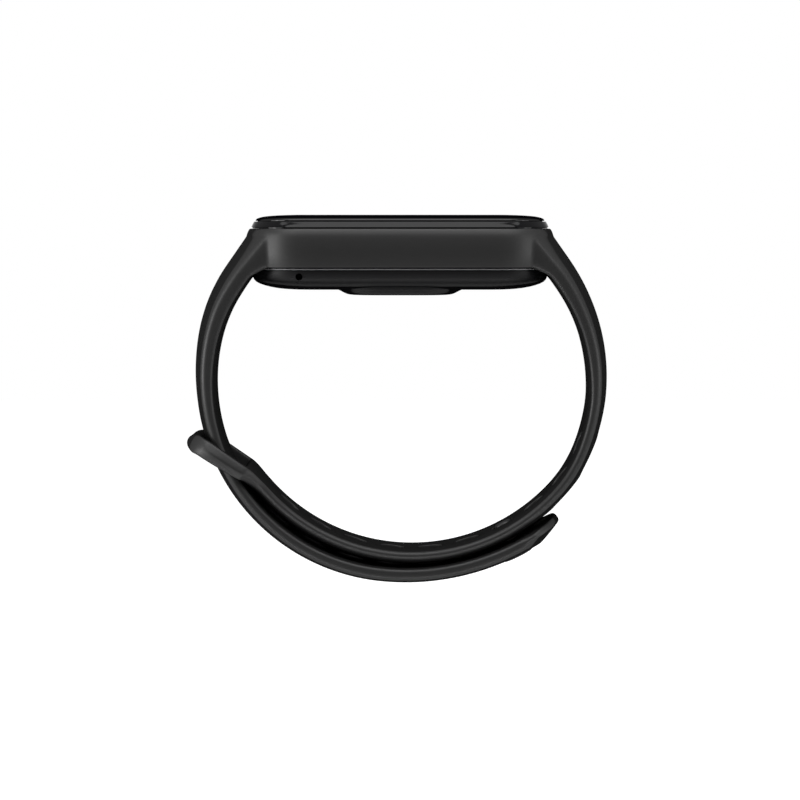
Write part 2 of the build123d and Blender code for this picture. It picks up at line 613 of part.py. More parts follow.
def ribbon(name, width, route, thickness=0.12):
    """A flat cable of one thickness that follows a route of (x, z) points, written to its file."""
    with BuildPart() as flex:
        with BuildSketch(Plane.XZ):
            with BuildLine() as run:
                FilletPolyline(*route, radius=0.3)
            trace(run.line, thickness)
        extrude(amount=width / 2, both=True)
    save(flex, name)


ribbon("display_flex", 6.4, [(-14.6, 24.07), (-18.4, 24.07), (-18.4, 23.12), (-13.6, 23.12)])
ribbon("sensor_flex", 5.0, [(-10.9, 15.5), (-14.0, 15.5), (-14.0, 22.33), (-16.6, 22.33)])

with BuildPart() as antenna:
    slab(grown(CAVITY_PLAN, -0.5), TRAY_TOP, TRAY_TOP + 0.2)
    slab(grown(CAVITY_PLAN, -1.1), TRAY_TOP - 1, TRAY_TOP + 1, mode=Mode.SUBTRACT)
    block((-30, 15.9), (-10, 10), (TRAY_TOP - 1, TRAY_TOP + 1), mode=Mode.SUBTRACT)
save(antenna, "antenna")


# ---------------------------------------------------------------- capsule: microphone

with BuildPart() as microphone:
    block((-17.0, -14.4), (-6.0, -5.1), (15.80, 17.30))
save(microphone, "microphone")

with BuildPart() as mic_seal:
    with BuildSketch(Plane(origin=(MIC_X, -6.0, MIC_Z), x_dir=(1, 0, 0), z_dir=(0, -1, 0))):
        Circle(0.30)
        Circle(0.12, mode=Mode.SUBTRACT)
    extrude(amount=0.55)
save(mic_seal, "mic_seal")

with BuildPart() as mic_flex:
    block((-16.3, -15.1), (-5.08, -4.98), (15.90, BOARD_UNDERSIDE))
save(mic_flex, "mic_flex")


# ---------------------------------------------------------------- capsule: vibration motor

MOTOR_LOW, MOTOR_HIGH = 17.45, 20.65
MOTOR_WALL = 0.25
ROTOR_LOW, ROTOR_HIGH = 18.65, 20.10
MOTOR_AT = (MOTOR_X, 0)

with BuildPart() as motor_case:
    disc(MOTOR_RADIUS, MOTOR_LOW, MOTOR_HIGH, MOTOR_AT)
    fillet(motor_case.faces().sort_by(Axis.Z)[-1].edges(), radius=0.3)
    disc(MOTOR_RADIUS - MOTOR_WALL, MOTOR_LOW - 1, MOTOR_HIGH - MOTOR_WALL, MOTOR_AT, mode=Mode.SUBTRACT)
save(motor_case, "motor_case")

with BuildPart() as motor_base:
    disc(MOTOR_RADIUS - MOTOR_WALL - 0.02, MOTOR_LOW, MOTOR_LOW + 0.3, MOTOR_AT)
    disc(0.40, MOTOR_LOW + 0.3, MOTOR_HIGH - MOTOR_WALL - 0.02, MOTOR_AT)
save(motor_base, "motor_base")

with BuildPart() as motor_magnet:
    disc(3.4, MOTOR_LOW + 0.3, MOTOR_LOW + 0.95, MOTOR_AT)
    disc(1.3, MOTOR_LOW - 1, MOTOR_LOW + 2, MOTOR_AT, mode=Mode.SUBTRACT)
save(motor_magnet, "motor_magnet")

# The rotor is a hub with a half-disc weight on one side of the shaft.
with BuildPart() as motor_rotor:
    disc(3.4, ROTOR_LOW, ROTOR_HIGH, MOTOR_AT)
    block((MOTOR_X - 5, MOTOR_X), (-5, 5), (ROTOR_LOW - 1, ROTOR_HIGH + 1), mode=Mode.SUBTRACT)
    disc(1.2, ROTOR_LOW, ROTOR_HIGH, MOTOR_AT)
    disc(0.55, ROTOR_LOW - 1, ROTOR_HIGH + 1, MOTOR_AT, mode=Mode.SUBTRACT)
save(motor_rotor, "motor_rotor")
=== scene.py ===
from math import asin, atan2, cos, degrees, pi, radians, sin, sqrt

import bpy
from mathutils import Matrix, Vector


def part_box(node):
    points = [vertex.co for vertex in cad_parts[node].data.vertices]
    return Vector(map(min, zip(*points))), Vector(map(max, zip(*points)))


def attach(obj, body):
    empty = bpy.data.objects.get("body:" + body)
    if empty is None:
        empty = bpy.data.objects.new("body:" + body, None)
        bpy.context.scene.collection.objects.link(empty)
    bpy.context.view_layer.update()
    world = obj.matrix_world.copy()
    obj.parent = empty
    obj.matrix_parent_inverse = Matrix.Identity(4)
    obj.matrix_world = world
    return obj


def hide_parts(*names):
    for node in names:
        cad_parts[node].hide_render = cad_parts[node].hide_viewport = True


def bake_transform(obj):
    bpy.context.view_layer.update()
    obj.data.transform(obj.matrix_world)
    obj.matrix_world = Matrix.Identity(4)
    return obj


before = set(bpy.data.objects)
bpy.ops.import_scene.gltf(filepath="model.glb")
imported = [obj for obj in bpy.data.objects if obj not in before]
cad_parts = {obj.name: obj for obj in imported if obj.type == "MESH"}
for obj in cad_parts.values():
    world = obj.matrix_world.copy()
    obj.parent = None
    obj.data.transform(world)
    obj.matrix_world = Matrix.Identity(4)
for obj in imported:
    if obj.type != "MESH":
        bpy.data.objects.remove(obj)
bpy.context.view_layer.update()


# ---------------------------------------------------------------------------------------------
# Studio.  A long lens looks across the band, level with the capsule and tipped slightly down.
# The surroundings are plain white; soft boxes above, in front and at both ends make the gloss.

CAMERA_DISTANCE = 0.500
CAMERA_HEIGHT = 0.025
AIM_HEIGHT = -0.00350
IMAGE_WIDTH_AT_OBJECT = 0.12660
SENSOR_MM = 36.0

bpy.ops.object.camera_add(location=(0, -CAMERA_DISTANCE, CAMERA_HEIGHT))
camera = bpy.context.object
camera.rotation_euler = (Vector((0, 0, AIM_HEIGHT)) - camera.location).to_track_quat("-Z", "Y").to_euler()
camera.data.sensor_width = SENSOR_MM
camera.data.lens = SENSOR_MM * CAMERA_DISTANCE / IMAGE_WIDTH_AT_OBJECT
camera.data.clip_start = 0.01
camera.data.clip_end = 20
bpy.context.scene.camera = camera
bpy.context.scene.view_settings.view_transform = "Standard"


def add_node(tree, kind, links=(), **settings):
    """Adds one shader node, sets its properties or sockets, and links (from_socket, to_name) pairs."""
    node = tree.nodes.new(kind)
    for name, value in settings.items():
        socket = node.inputs.get(name.replace("_", " "))
        if socket is not None and not hasattr(node, name):
            socket.default_value = value
        else:
            setattr(node, name, value)
    for source, target in links:
        tree.links.new(source, node.inputs[target])
    return node


def linear(code):
    """An sRGB hex colour as linear RGBA."""
    channels = [int(code[i:i + 2], 16) / 255 for i in (1, 3, 5)]
    return [c / 12.92 if c <= 0.04045 else ((c + 0.055) / 1.055) ** 2.4 for c in channels] + [1.0]


def bare_material(name):
    """A new material and its emptied node tree."""
    material = bpy.data.materials.new(name)
    material.use_nodes = True
    material.node_tree.nodes.clear()
    return material, material.node_tree


def sees_background(tree):
    """Factor that is 1 for what the camera, a reflection or a clear surface looks at."""
    path = add_node(tree, "ShaderNodeLightPath")
    direct = add_node(tree, "ShaderNodeMath", [
        (path.outputs["Is Camera Ray"], 0), (path.outputs["Is Transmission Ray"], 1)], operation="MAXIMUM")
    return add_node(tree, "ShaderNodeMath", [
        (direct.outputs[0], 0), (path.outputs["Is Glossy Ray"], 1)], operation="MAXIMUM")


AMBIENT = 0.15      # world light on the object, where the background's white is 1
world = bpy.data.worlds.new("white_studio")
bpy.context.scene.world = world
world.use_nodes = True
tree = world.node_tree
tree.nodes.clear()
seen = sees_background(tree)
ambient = add_node(tree, "ShaderNodeBackground", Color=(1, 1, 1, 1), Strength=AMBIENT)
white = add_node(tree, "ShaderNodeBackground", Color=(1, 1, 1, 1), Strength=1.0)
mixed = add_node(tree, "ShaderNodeMixShader", [
    (seen.outputs[0], 0), (ambient.outputs[0], 1), (white.outputs[0], 2)])
add_node(tree, "ShaderNodeOutputWorld", [(mixed.outputs[0], "Surface")])

# Floor, well below the band, which is held up as if on a wrist.
FLOOR_HEIGHT = -0.090
FLOOR_SIZE = 3.0
FLOOR_PAINT, FLOOR_LIFT = 0.55, 0.92    # its own paleness, and what lifts it to the white background
bpy.ops.mesh.primitive_plane_add(size=FLOOR_SIZE, location=(0, 0, FLOOR_HEIGHT))
floor = bpy.context.object
floor.name = "floor"
floor_paint, tree = bare_material("matt_white_paint")
seen = sees_background(tree)
paint = add_node(tree, "ShaderNodeBsdfDiffuse", Color=(FLOOR_PAINT, FLOOR_PAINT, FLOOR_PAINT, 1))
glow = add_node(tree, "ShaderNodeEmission", Color=(1, 1, 1, 1), Strength=FLOOR_LIFT)
lifted = add_node(tree, "ShaderNodeAddShader", [(paint.outputs[0], 0), (glow.outputs[0], 1)])
floor_mix = add_node(tree, "ShaderNodeMixShader", [
    (seen.outputs[0], 0), (paint.outputs[0], 1), (lifted.outputs[0], 2)])
# Seen from below, or on the way to a lamp, the floor is open.
clear = add_node(tree, "ShaderNodeBsdfTransparent")
side = add_node(tree, "ShaderNodeNewGeometry")
path = add_node(tree, "ShaderNodeLightPath")
open_way = add_node(tree, "ShaderNodeMath", [
    (side.outputs["Backfacing"], 0), (path.outputs["Is Shadow Ray"], 1)], operation="MAXIMUM")
one_way = add_node(tree, "ShaderNodeMixShader", [
    (open_way.outputs[0], 0), (floor_mix.outputs[0], 1), (clear.outputs[0], 2)])
add_node(tree, "ShaderNodeOutputMaterial", [(one_way.outputs[0], "Surface")])
floor.data.materials.append(floor_paint)

# Soft boxes: name, place, size across and up, power in watts.
SOFT_BOXES = [
    ("top_box", (0.0, -0.05, 0.60), (0.72, 0.45), 3.0),
    ("front_box", (0.0, -0.55, 0.60), (1.30, 0.30), 9.0),
    ("top_edge_light", (0.0, -0.20, 0.62), (1.20, 0.16), 3.5),
    ("left_strip", (-0.60, -0.12, -0.10), (0.20, 0.50), 3.0),
    ("right_strip", (0.60, -0.12, -0.10), (0.20, 0.50), 1.5),
    ("left_edge_light", (-0.60, -0.27, 0.05), (0.25, 0.60), 3.6),
    ("right_edge_light", (0.60, -0.27, 0.05), (0.25, 0.60), 1.1),
    ("low_edge_light", (0.0, -0.45, -0.50), (1.20, 0.30), 4.2),
]
for name, place, (across, up), power in SOFT_BOXES:
    bpy.ops.object.light_add(type="AREA", location=place)
    lamp = bpy.context.object
    lamp.name = name
    lamp.data.shape = "RECTANGLE"
    lamp.data.size, lamp.data.size_y = across, up
    lamp.data.energy = power
    lamp.rotation_euler = (-lamp.location).to_track_quat("-Z", "Y").to_euler()
    # An edge light only draws the highlight along rounded edges; it adds nothing to the level.
    lamp.visible_diffuse = "edge_light" not in name
    # The low one shines up through the floor, which only its direct rays can pass.
    lamp.data.cycles.use_multiple_importance_sampling = name != "low_edge_light"


# ---------------------------------------------------------------------------------------------
# Band.  One black silicone moulding: a frame round the capsule, two straps and the keeper loop.
# It is moulded in a spark-eroded tool, so it is evenly matte with softly rounded edges.

# Millimetres and degrees.  Heights in a strap are measured outwards from its skin line.
MM = 0.001
FACE_COLUMNS = [-7.8, -7.1, -5.9, -4.3, -2.7, -1.3, 0.0, 1.3, 2.7, 4.3, 5.9, 7.1, 7.8]
SKIN_CORNER, CREST = 0.60, 0.65
ROUNDING_SHARE = 0.44       # the most of the edge's height that one rounding may take
ROUNDING_INSET = 0.29       # how far a quarter round's middle stands in from its corner, of its radius
ROW = 1.5                   # spacing of the rows along a strap before smoothing
STUD_STRAP_SKIN, STUD_ROOT_ANGLE = 29.50, 145.5
TAIL_START, TAIL_SKIN = 262.0, 36.90
FLEX_ANGLE, THIN_FROM_ANGLE, TIP_ANGLE = 274.8, 302.9, 309.3
HOLE_STRAP_SKIN, HOLE_ROOT_ANGLE = 29.95, 34.5
TURN_IN_RADIUS, TURN_IN_FROM, TURN_IN_TO = 20.0, -21.6, -43.1
UNDER_RADIUS, UNDER_TO = 30.08, -144.0
LOOP_BEND_RADIUS, LOOP_ANGLE = 5.0, 149.5


def polar(radius, angle, centre=(0.0, 0.0)):
    """Point (x, z) at a polar angle, from +X towards +Z, about a centre."""
    return (centre[0] + radius * cos(radians(angle)), centre[1] + radius * sin(radians(angle)))


WRIST_CENTRE = (0.0, 0.0)
TAIL_CENTRE = polar(STUD_STRAP_SKIN - TAIL_SKIN, TAIL_START)
TURN_IN_CENTRE = polar(HOLE_STRAP_SKIN - TURN_IN_RADIUS, TURN_IN_FROM)
UNDER_CENTRE = polar(TURN_IN_RADIUS - UNDER_RADIUS, TURN_IN_TO, TURN_IN_CENTRE)
LOOP_BEND_CENTRE = polar(UNDER_RADIUS + LOOP_BEND_RADIUS, UNDER_TO, UNDER_CENTRE)

# A route is the skin line of a strap as arcs (centre, radius, from angle, to angle); a negative
# radius is an arc that bends the other way, with its centre on the outer side.
STUD_ROUTE = [
    (WRIST_CENTRE, STUD_STRAP_SKIN, STUD_ROOT_ANGLE, TAIL_START),
    (TAIL_CENTRE, TAIL_SKIN, TAIL_START, TIP_ANGLE),
]
HOLE_ROUTE = [
    (WRIST_CENTRE, HOLE_STRAP_SKIN, HOLE_ROOT_ANGLE, TURN_IN_FROM),
    (TURN_IN_CENTRE, TURN_IN_RADIUS, TURN_IN_FROM, TURN_IN_TO),
    (UNDER_CENTRE, UNDER_RADIUS, TURN_IN_TO, UNDER_TO),
    (LOOP_BEND_CENTRE, -LOOP_BEND_RADIUS, UNDER_TO + 180, LOOP_ANGLE - 90),
]


def arc_length(arc, to_angle=None):
    """Length of an arc, or of its part up to an angle."""
    return abs(radians((arc[3] if to_angle is None else to_angle) - arc[2]) * arc[1])


def on_route(route, along, height):
    """Point (x, z) at a distance along a route's skin line and a height outwards from it."""
    for arc in route:
        length = arc_length(arc)
        if along <= length or arc is route[-1]:
            break
        along -= length
    centre, radius, start, stop = arc
    reach = radius + height if radius > 0 else -radius - height
    x, z = polar(reach, start + (stop - start) * min(along / length, 1.0), centre)
    if along > length:
        # Beyond its last arc the strap runs on straight.
        heading = stop + (90 if stop > start else -90)
        x, z = polar(along - length, heading, (x, z))
    return x, z


def ramp(value, low, high):
    """Smooth step from 0 at low to 1 at high."""
    t = min(max((value - low) / (high - low), 0.0), 1.0)
    return t * t * (3 - 2 * t)


def between(stations, at):
    """Values at a distance, taken in proportion between (distance, values...) stations."""
    for low, high in zip(stations, stations[1:]):
        if at <= high[0]:
            t = max((at - low[0]) / (high[0] - low[0]), 0.0)
            return [a + (b - a) * t for a, b in zip(low[1:], high[1:])]
    return list(stations[-1][1:])


def section(skin, edge, crown, columns=FACE_COLUMNS, corner=SKIN_CORNER, crest=CREST):
    """Outline of a strap as (y, height): skin side, one edge, arched outer side, other edge."""
    half = columns[-1]
    corner, crest = (min(rounding, (edge - skin) * ROUNDING_SHARE) for rounding in (corner, crest))
    rising = [(half, skin + corner), (half, (skin + corner + edge - crest) / 2), (half, edge - crest)]
    arch = [(y, crown - (crown - edge) * (y / half) ** 2) for y in columns[1:-1]]
    # Each corner is a quarter round whose middle point has drawn in both ways.
    inner_inset, outer_inset = ROUNDING_INSET * corner, ROUNDING_INSET * crest
    inner, outer = (half - inner_inset, skin + inner_inset), (half - outer_inset, edge - outer_inset)
    skin_side = [(-inner[0], inner[1])] + [(y, skin) for y in columns[1:-1]] + [inner]
    outer_side = [outer] + arch[::-1] + [(-outer[0], outer[1])]
    return skin_side + rising + outer_side + [(-half, h) for _, h in rising[::-1]]


def bent(route, along, outline):
    """A strap's outline, placed on its route as (x, y, z) points."""
    ring = []
    for y, height in outline:
        x, z = on_route(route, along, height)
        ring.append((x, y, z))
    return ring


def number_vertices(piece, ring_of, column_of):
    """Keeps each vertex's ring and column on the mesh, so that its faces can be picked later."""
    rings = piece.data.attributes.new("ring", "INT", "POINT")
    columns = piece.data.attributes.new("column", "INT", "POINT")
    for index, point in enumerate(piece.data.vertices):
        rings.data[index].value = ring_of(point.co)
        columns.data[index].value = column_of(point.co)
    return rings, columns


def select_none(kind):
    """Leaves nothing selected on the piece in hand, so that its edges or faces can be picked in code."""
    bpy.ops.object.mode_set(mode="EDIT")
    bpy.ops.mesh.select_mode(type=kind)
    bpy.ops.mesh.select_all(action="DESELECT")
    bpy.ops.object.mode_set(mode="OBJECT")


def face_outwards():
    """Turns the faces of the piece in hand outwards."""
    bpy.ops.object.mode_set(mode="EDIT")
    bpy.ops.mesh.select_all(action="SELECT")
    bpy.ops.mesh.normals_make_consistent(inside=False)
    bpy.ops.object.mode_set(mode="OBJECT")


def tube(name, rings):
    """An open tube through rings of points: a bare cylinder, cut along its length and shaped."""
    bpy.ops.object.select_all(action="DESELECT")
    around = len(rings[0])
    bpy.ops.mesh.primitive_cylinder_add(vertices=around, radius=1, depth=1, end_fill_type="NOTHING")
    piece = bpy.context.object
    piece.name = piece.data.name = name
    select_none("EDGE")
    points = piece.data.vertices
    for edge in piece.data.edges:
        edge.select = abs(points[edge.vertices[0]].co.z - points[edge.vertices[1]].co.z) > 0.5
    bpy.ops.object.mode_set(mode="EDIT")
    bpy.ops.mesh.subdivide(number_cuts=len(rings) - 2)
    bpy.ops.object.mode_set(mode="OBJECT")
    ring, column = number_vertices(
        piece,
        lambda co: round((co.z + 0.5) * (len(rings) - 1)),
        lambda co: round(atan2(co.y, co.x) / (2 * pi) * around) % around,
    )
    for index, point in enumerate(piece.data.vertices):
        point.co = Vector(rings[ring.data[index].value][column.data[index].value]) * MM
    return piece


def edit_faces(piece, rings, *column_runs):
    """Opens edit mode with the faces between two rings and within any of the column runs selected."""
    select_none("FACE")
    mesh = piece.data
    ring, column = mesh.attributes["ring"].data, mesh.attributes["column"].data
    for face in mesh.polygons:
        inside = all(rings[0] <= ring[v].value <= rings[1] for v in face.vertices)
        face.select = inside and any(
            all(column[v].value in run for v in face.vertices) for run in column_runs)
    bpy.ops.object.mode_set(mode="EDIT")


def edit_border(piece, wanted):
    """Opens edit mode with the open edges selected whose middle, in millimetres, passes a test."""
    select_none("EDGE")
    bpy.ops.object.mode_set(mode="EDIT")
    bpy.ops.mesh.select_non_manifold(
        extend=False, use_wire=False, use_boundary=True, use_multi_face=False, use_non_contiguous=False,
        use_verts=False)
    bpy.ops.object.mode_set(mode="OBJECT")
    mesh = piece.data
    for point in mesh.vertices:
        point.select = False
    for edge in mesh.edges:
        a, b = (mesh.vertices[v].co for v in edge.vertices)
        edge.select = edge.select and bool(wanted((a + b) / 2 / MM))
    bpy.ops.object.mode_set(mode="EDIT")


def smooth_out(piece):
    """Subdivides a finished cage into a soft moulded skin, its faces pointing outwards."""
    face_outwards()
    skin = piece.modifiers.new("moulded skin", "SUBSURF")
    skin.levels = skin.render_levels = 2
    bpy.ops.object.modifier_apply(modifier=skin.name)


def crease(piece, sharpness, wanted):
    """Keeps a moulded edge crisp where an edge's two (ring, column) ends pass a test."""
    select_none("EDGE")
    ring, column = piece.data.attributes["ring"].data, piece.data.attributes["column"].data
    for edge in piece.data.edges:
        edge.select = wanted(*((ring[v].value, column[v].value) for v in edge.vertices))
    bpy.ops.object.mode_set(mode="EDIT")
    bpy.ops.transform.edge_crease(value=sharpness)
    bpy.ops.object.mode_set(mode="OBJECT")


def close_cut(piece, wanted):
    """Fills the flat open end of a strap."""
    edit_border(piece, wanted)
    bpy.ops.mesh.edge_face_add()
    bpy.ops.object.mode_set(mode="OBJECT")
    bpy.ops.object.shade_smooth_by_angle(angle=radians(38))


# The skin side is columns 0 to 12 of a strap's outline and the outer side is columns 16 to 28.
SKIN_FIRST, OUTER_FIRST, LAST_FACE_COLUMN = 0, 16, 12


def face_columns(low, high):
    """The skin-side and outer-side column runs between two of the face columns."""
    skin = range(SKIN_FIRST + low, SKIN_FIRST + high + 1)
    outer = range(OUTER_FIRST + LAST_FACE_COLUMN - high, OUTER_FIRST + LAST_FACE_COLUMN - low + 1)
    return skin, outer


# Stud strap, from the frame to the hidden cut behind the keeper loop: heights of the skin side,
# the edges and the crown over the skin line.
SEAM_ANGLE = 202.5
STUD_PROFILE = [
    (abs(angle - STUD_ROOT_ANGLE) * radians(STUD_STRAP_SKIN), *heights) for angle, *heights in (
        (STUD_ROOT_ANGLE, -1.10, 1.20, 3.22), (150.0, -1.02, 1.30, 3.30), (158.0, -0.66, 1.60, 3.32),
        (165.0, -0.47, 1.62, 3.20), (174.0, -0.34, 1.60, 2.96), (185.0, -0.22, 1.54, 2.74),
        (200.0, -0.06, 1.50, 2.72), (SEAM_ANGLE, -0.05, 1.51, 2.72))]
seam_along = arc_length(STUD_ROUTE[0], SEAM_ANGLE)
rows = round(seam_along / ROW)
alongs = [seam_along * i / rows for i in range(rows + 1)]
stud_side = tube("stud_side", [bent(STUD_ROUTE, at, section(*between(STUD_PROFILE, at))) for at in alongs])

# Hole strap: its rows are set so that each hole has four of them.
HOLE_PITCH, HOLES_TO_FRAME, HOLES_TO_LOOP = 6.0, 3, 6     # the holes to either side of the one in use
ROWS_PER_HOLE = 4
HOLE_PROFILE = [
    (abs(angle - HOLE_ROOT_ANGLE) * radians(HOLE_STRAP_SKIN), *heights) for angle, *heights in (
        (HOLE_ROOT_ANGLE, -1.45, 0.80, 2.80), (30.0, -1.30, 0.90, 2.80), (22.0, -0.90, 1.05, 2.80),
        (15.0, -0.60, 1.24, 2.82), (6.0, -0.35, 1.42, 2.82), (-6.0, 0.0, 1.52, 2.77),
        (TURN_IN_FROM, 0.0, 1.42, 2.52))]
stud_low, stud_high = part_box("fastening_stud")
stud_middle = (stud_low + stud_high) / 2 / MM
stud_bearing = degrees(atan2(stud_middle.z - UNDER_CENTRE[1], stud_middle.x - UNDER_CENTRE[0]))
used_hole = sum(arc_length(arc) for arc in HOLE_ROUTE[:2]) + arc_length(HOLE_ROUTE[2], stud_bearing)
first_hole = used_hole - HOLES_TO_FRAME * HOLE_PITCH
holes = HOLES_TO_FRAME + HOLES_TO_LOOP + 1
loop_start = sum(arc_length(arc) for arc in HOLE_ROUTE)

holes_from = first_hole - HOLE_PITCH / 2
plain_rows = round(holes_from / ROW)
alongs = [holes_from * i / plain_rows for i in range(plain_rows)]
hole_rows = [len(alongs) + ROWS_PER_HOLE // 2 + ROWS_PER_HOLE * hole for hole in range(holes)]
alongs += [holes_from + ROW * i for i in range(ROWS_PER_HOLE * holes + 1)]
last_plain = alongs[-1]
FLARE_ROWS = 5
END_ROW_GAP = 0.7           # an even run of rows stops this far short of the close ones of an end
flare_rows_run = loop_start - END_ROW_GAP - last_plain
alongs += [last_plain + flare_rows_run * (i + 1) / FLARE_ROWS for i in range(FLARE_ROWS)]

# Keeper loop, beyond the strap's end: two rails either side of a slot, and a round cross-bar that
# bows outwards to clear the strap that runs under it.
LOOP_HALF_WIDTH, SLOT_HALF_WIDTH, LOOP_PLAN_CORNER = 10.0, 8.1, 6.2
LOOP_COLUMNS = [-LOOP_HALF_WIDTH, -9.5, -8.6, -SLOT_HALF_WIDTH, -5.4, -2.7, 0.0,
                2.7, 5.4, SLOT_HALF_WIDTH, 8.6, 9.5, LOOP_HALF_WIDTH]
RAIL_SKIN, RAIL_SKIN_AT_BAR, RAIL_OUTER, RAIL_CORNER = 0.30, -0.20, 2.70, 1.30
FLARE_FROM, FLARE_TO = -5.0, 0.2    # where the strap widens into the rails, from the loop's start
SLOT_ROWS = [-0.2, 1.0, 2.5, 4.1, 5.6]
BAR_AT, BAR_SINK, BAR_RADIUS = 8.34, 1.37, 1.50
BAR_CORNER = 0.75
BAR_TURNS = [155, 122, 90, 58, 30, 9]
BOW, BOW_THINNING = 0.72, 0.20
BOW_ALONG, BOW_OUT = 0.68, 0.73     # the bow's direction, straight away from the wrist's centre


def plan_narrowing(beyond):
    """How far the loop's plan outline has drawn in at a distance from its start, as a factor."""
    rim = max(beyond - (BAR_AT + BAR_RADIUS - LOOP_PLAN_CORNER), 0.0)
    corner = sqrt(max(LOOP_PLAN_CORNER ** 2 - rim ** 2, 0.0))
    return (LOOP_HALF_WIDTH - LOOP_PLAN_CORNER + corner) / LOOP_HALF_WIDTH


def loop_row(beyond):
    """Outline of the loop's rails, and of the strap as it widens into them."""
    widened = ramp(beyond, FLARE_FROM, FLARE_TO)
    narrowed = plan_narrowing(beyond)
    columns = [(a + (b - a) * widened) * narrowed for a, b in zip(FACE_COLUMNS, LOOP_COLUMNS)]
    rail_skin = RAIL_SKIN + (RAIL_SKIN_AT_BAR - RAIL_SKIN) * max(beyond, 0.0) / (BAR_AT - BAR_RADIUS)
    strap = HOLE_PROFILE[-1][1:] + (SKIN_CORNER, CREST)
    rail = (rail_skin, RAIL_OUTER, RAIL_OUTER, RAIL_CORNER, RAIL_CORNER)
    skin, edge, crown, corner, crest = (a + (b - a) * widened for a, b in zip(strap, rail))
    return section(skin, edge, crown, columns, corner, crest)


def bar_row(turn):
    """One ring round the end of the loop, at an angle round the cross-bar's section."""
    ring = []
    narrowed = plan_narrowing(BAR_AT + BAR_RADIUS * cos(radians(turn)))
    railness = ramp(turn, 90, BAR_TURNS[0])
    for y, level in section(-1, 1, 1, LOOP_COLUMNS, BAR_CORNER, BAR_CORNER):
        bowed = max(1 - (y / SLOT_HALF_WIDTH) ** 2, 0.0)
        radius = BAR_RADIUS - BOW_THINNING * max(1 - (y / SLOT_HALF_WIDTH) ** 4, 0.0)
        height = BAR_SINK + BOW * BOW_OUT * bowed + radius * sin(radians(turn)) * level
        rail = RAIL_SKIN_AT_BAR + (level + 1) / 2 * (RAIL_OUTER - RAIL_SKIN_AT_BAR)
        if abs(y) >= SLOT_HALF_WIDTH:
            height += (rail - height) * railness
        along = BAR_AT + BOW * BOW_ALONG * bowed + radius * cos(radians(turn))
        x, z = on_route(HOLE_ROUTE, loop_start + along, height)
        ring.append((x, y * narrowed, z))
    return ring


hole_rings = [bent(HOLE_ROUTE, at, loop_row(at - loop_start) if at > last_plain
                   else section(*between(HOLE_PROFILE, at))) for at in alongs]
slot_first = len(hole_rings)
hole_rings += [bent(HOLE_ROUTE, loop_start + at, loop_row(at)) for at in SLOT_ROWS]
slot_last = len(hole_rings)
hole_rings += [bar_row(turn) for turn in BAR_TURNS]
hole_side = tube("hole_side", hole_rings)

NEAR_END = 1.5              # the open edges of a strap's end are this close to its last ring


def close_rounded_end(piece, ring_number):
    """Joins the skin and outer sides across a strap's last ring and fills the two side slivers."""
    runs = face_columns(0, LAST_FACE_COLUMN)
    select_none("EDGE")
    mesh = piece.data
    ring, column = mesh.attributes["ring"].data, mesh.attributes["column"].data
    for edge in mesh.edges:
        at_end = all(ring[v].value == ring_number for v in edge.vertices)
        edge.select = at_end and any(all(column[v].value in run for v in edge.vertices) for run in runs)
    bpy.ops.object.mode_set(mode="EDIT")
    bpy.ops.mesh.bridge_edge_loops()
    bpy.ops.object.mode_set(mode="OBJECT")
    ring = piece.data.attributes["ring"].data
    tip = [v.co / MM for v in piece.data.vertices if ring[v.index].value == ring_number]
    for side in (-1, 1):
        edit_border(piece, lambda at: at.y * side > 0
                    and min((at - end).length for end in tip) < NEAR_END)
        bpy.ops.mesh.edge_face_add()
        bpy.ops.object.mode_set(mode="OBJECT")


close_rounded_end(hole_side, len(hole_rings) - 1)

# The slot is cut by joining the faces that lie opposite each other inside the rails and the bar.
SLOT_SIDES, HOLE_SIDES = (3, 9), (5, 7)     # the face columns at their two sides
edit_faces(hole_side, (slot_first, slot_last), *face_columns(*SLOT_SIDES))
bpy.ops.mesh.bridge_edge_loops(number_cuts=2)
bpy.ops.object.mode_set(mode="OBJECT")

# Each hole is an oblong, 4.3 by 3.5 mm: its four faces a side are drawn to shape and joined.
HOLE_HALF_LENGTH, HOLE_HALF_WIDTH, HOLE_RIM = 2.15, 1.75, 0.10
HOLE_CORNER = 0.78          # where a hole's corners stand, of its half length and width
for row in hole_rows:
    for run in face_columns(*HOLE_SIDES):
        mesh = hole_side.data
        ring, column = mesh.attributes["ring"].data, mesh.attributes["column"].data
        middle = next(v.co.copy() for i, v in enumerate(mesh.vertices)
                      if ring[i].value == row and column[i].value == run[1])
        ahead = next(v.co for i, v in enumerate(mesh.vertices)
                     if ring[i].value == row + 1 and column[i].value == run[1])
        forward = (ahead - middle).normalized()
        for i, point in enumerate(mesh.vertices):
            if abs(ring[i].value - row) <= 1 and column[i].value in run:
                steps = ring[i].value - row
                sideways = round(point.co.y / MM / FACE_COLUMNS[HOLE_SIDES[1]])
                shrink = HOLE_CORNER if steps and sideways else 1.0
                along = steps * (HOLE_HALF_LENGTH + HOLE_RIM) * shrink
                across = sideways * (HOLE_HALF_WIDTH + HOLE_RIM) * shrink
                point.co = middle + forward * along * MM + Vector((0, across * MM, 0))
    edit_faces(hole_side, (row - 1, row + 1), *face_columns(*HOLE_SIDES))
    bpy.ops.mesh.inset(thickness=HOLE_RIM * MM, use_boundary=True)
    bpy.ops.mesh.bridge_edge_loops(number_cuts=2)
    bpy.ops.object.mode_set(mode="OBJECT")

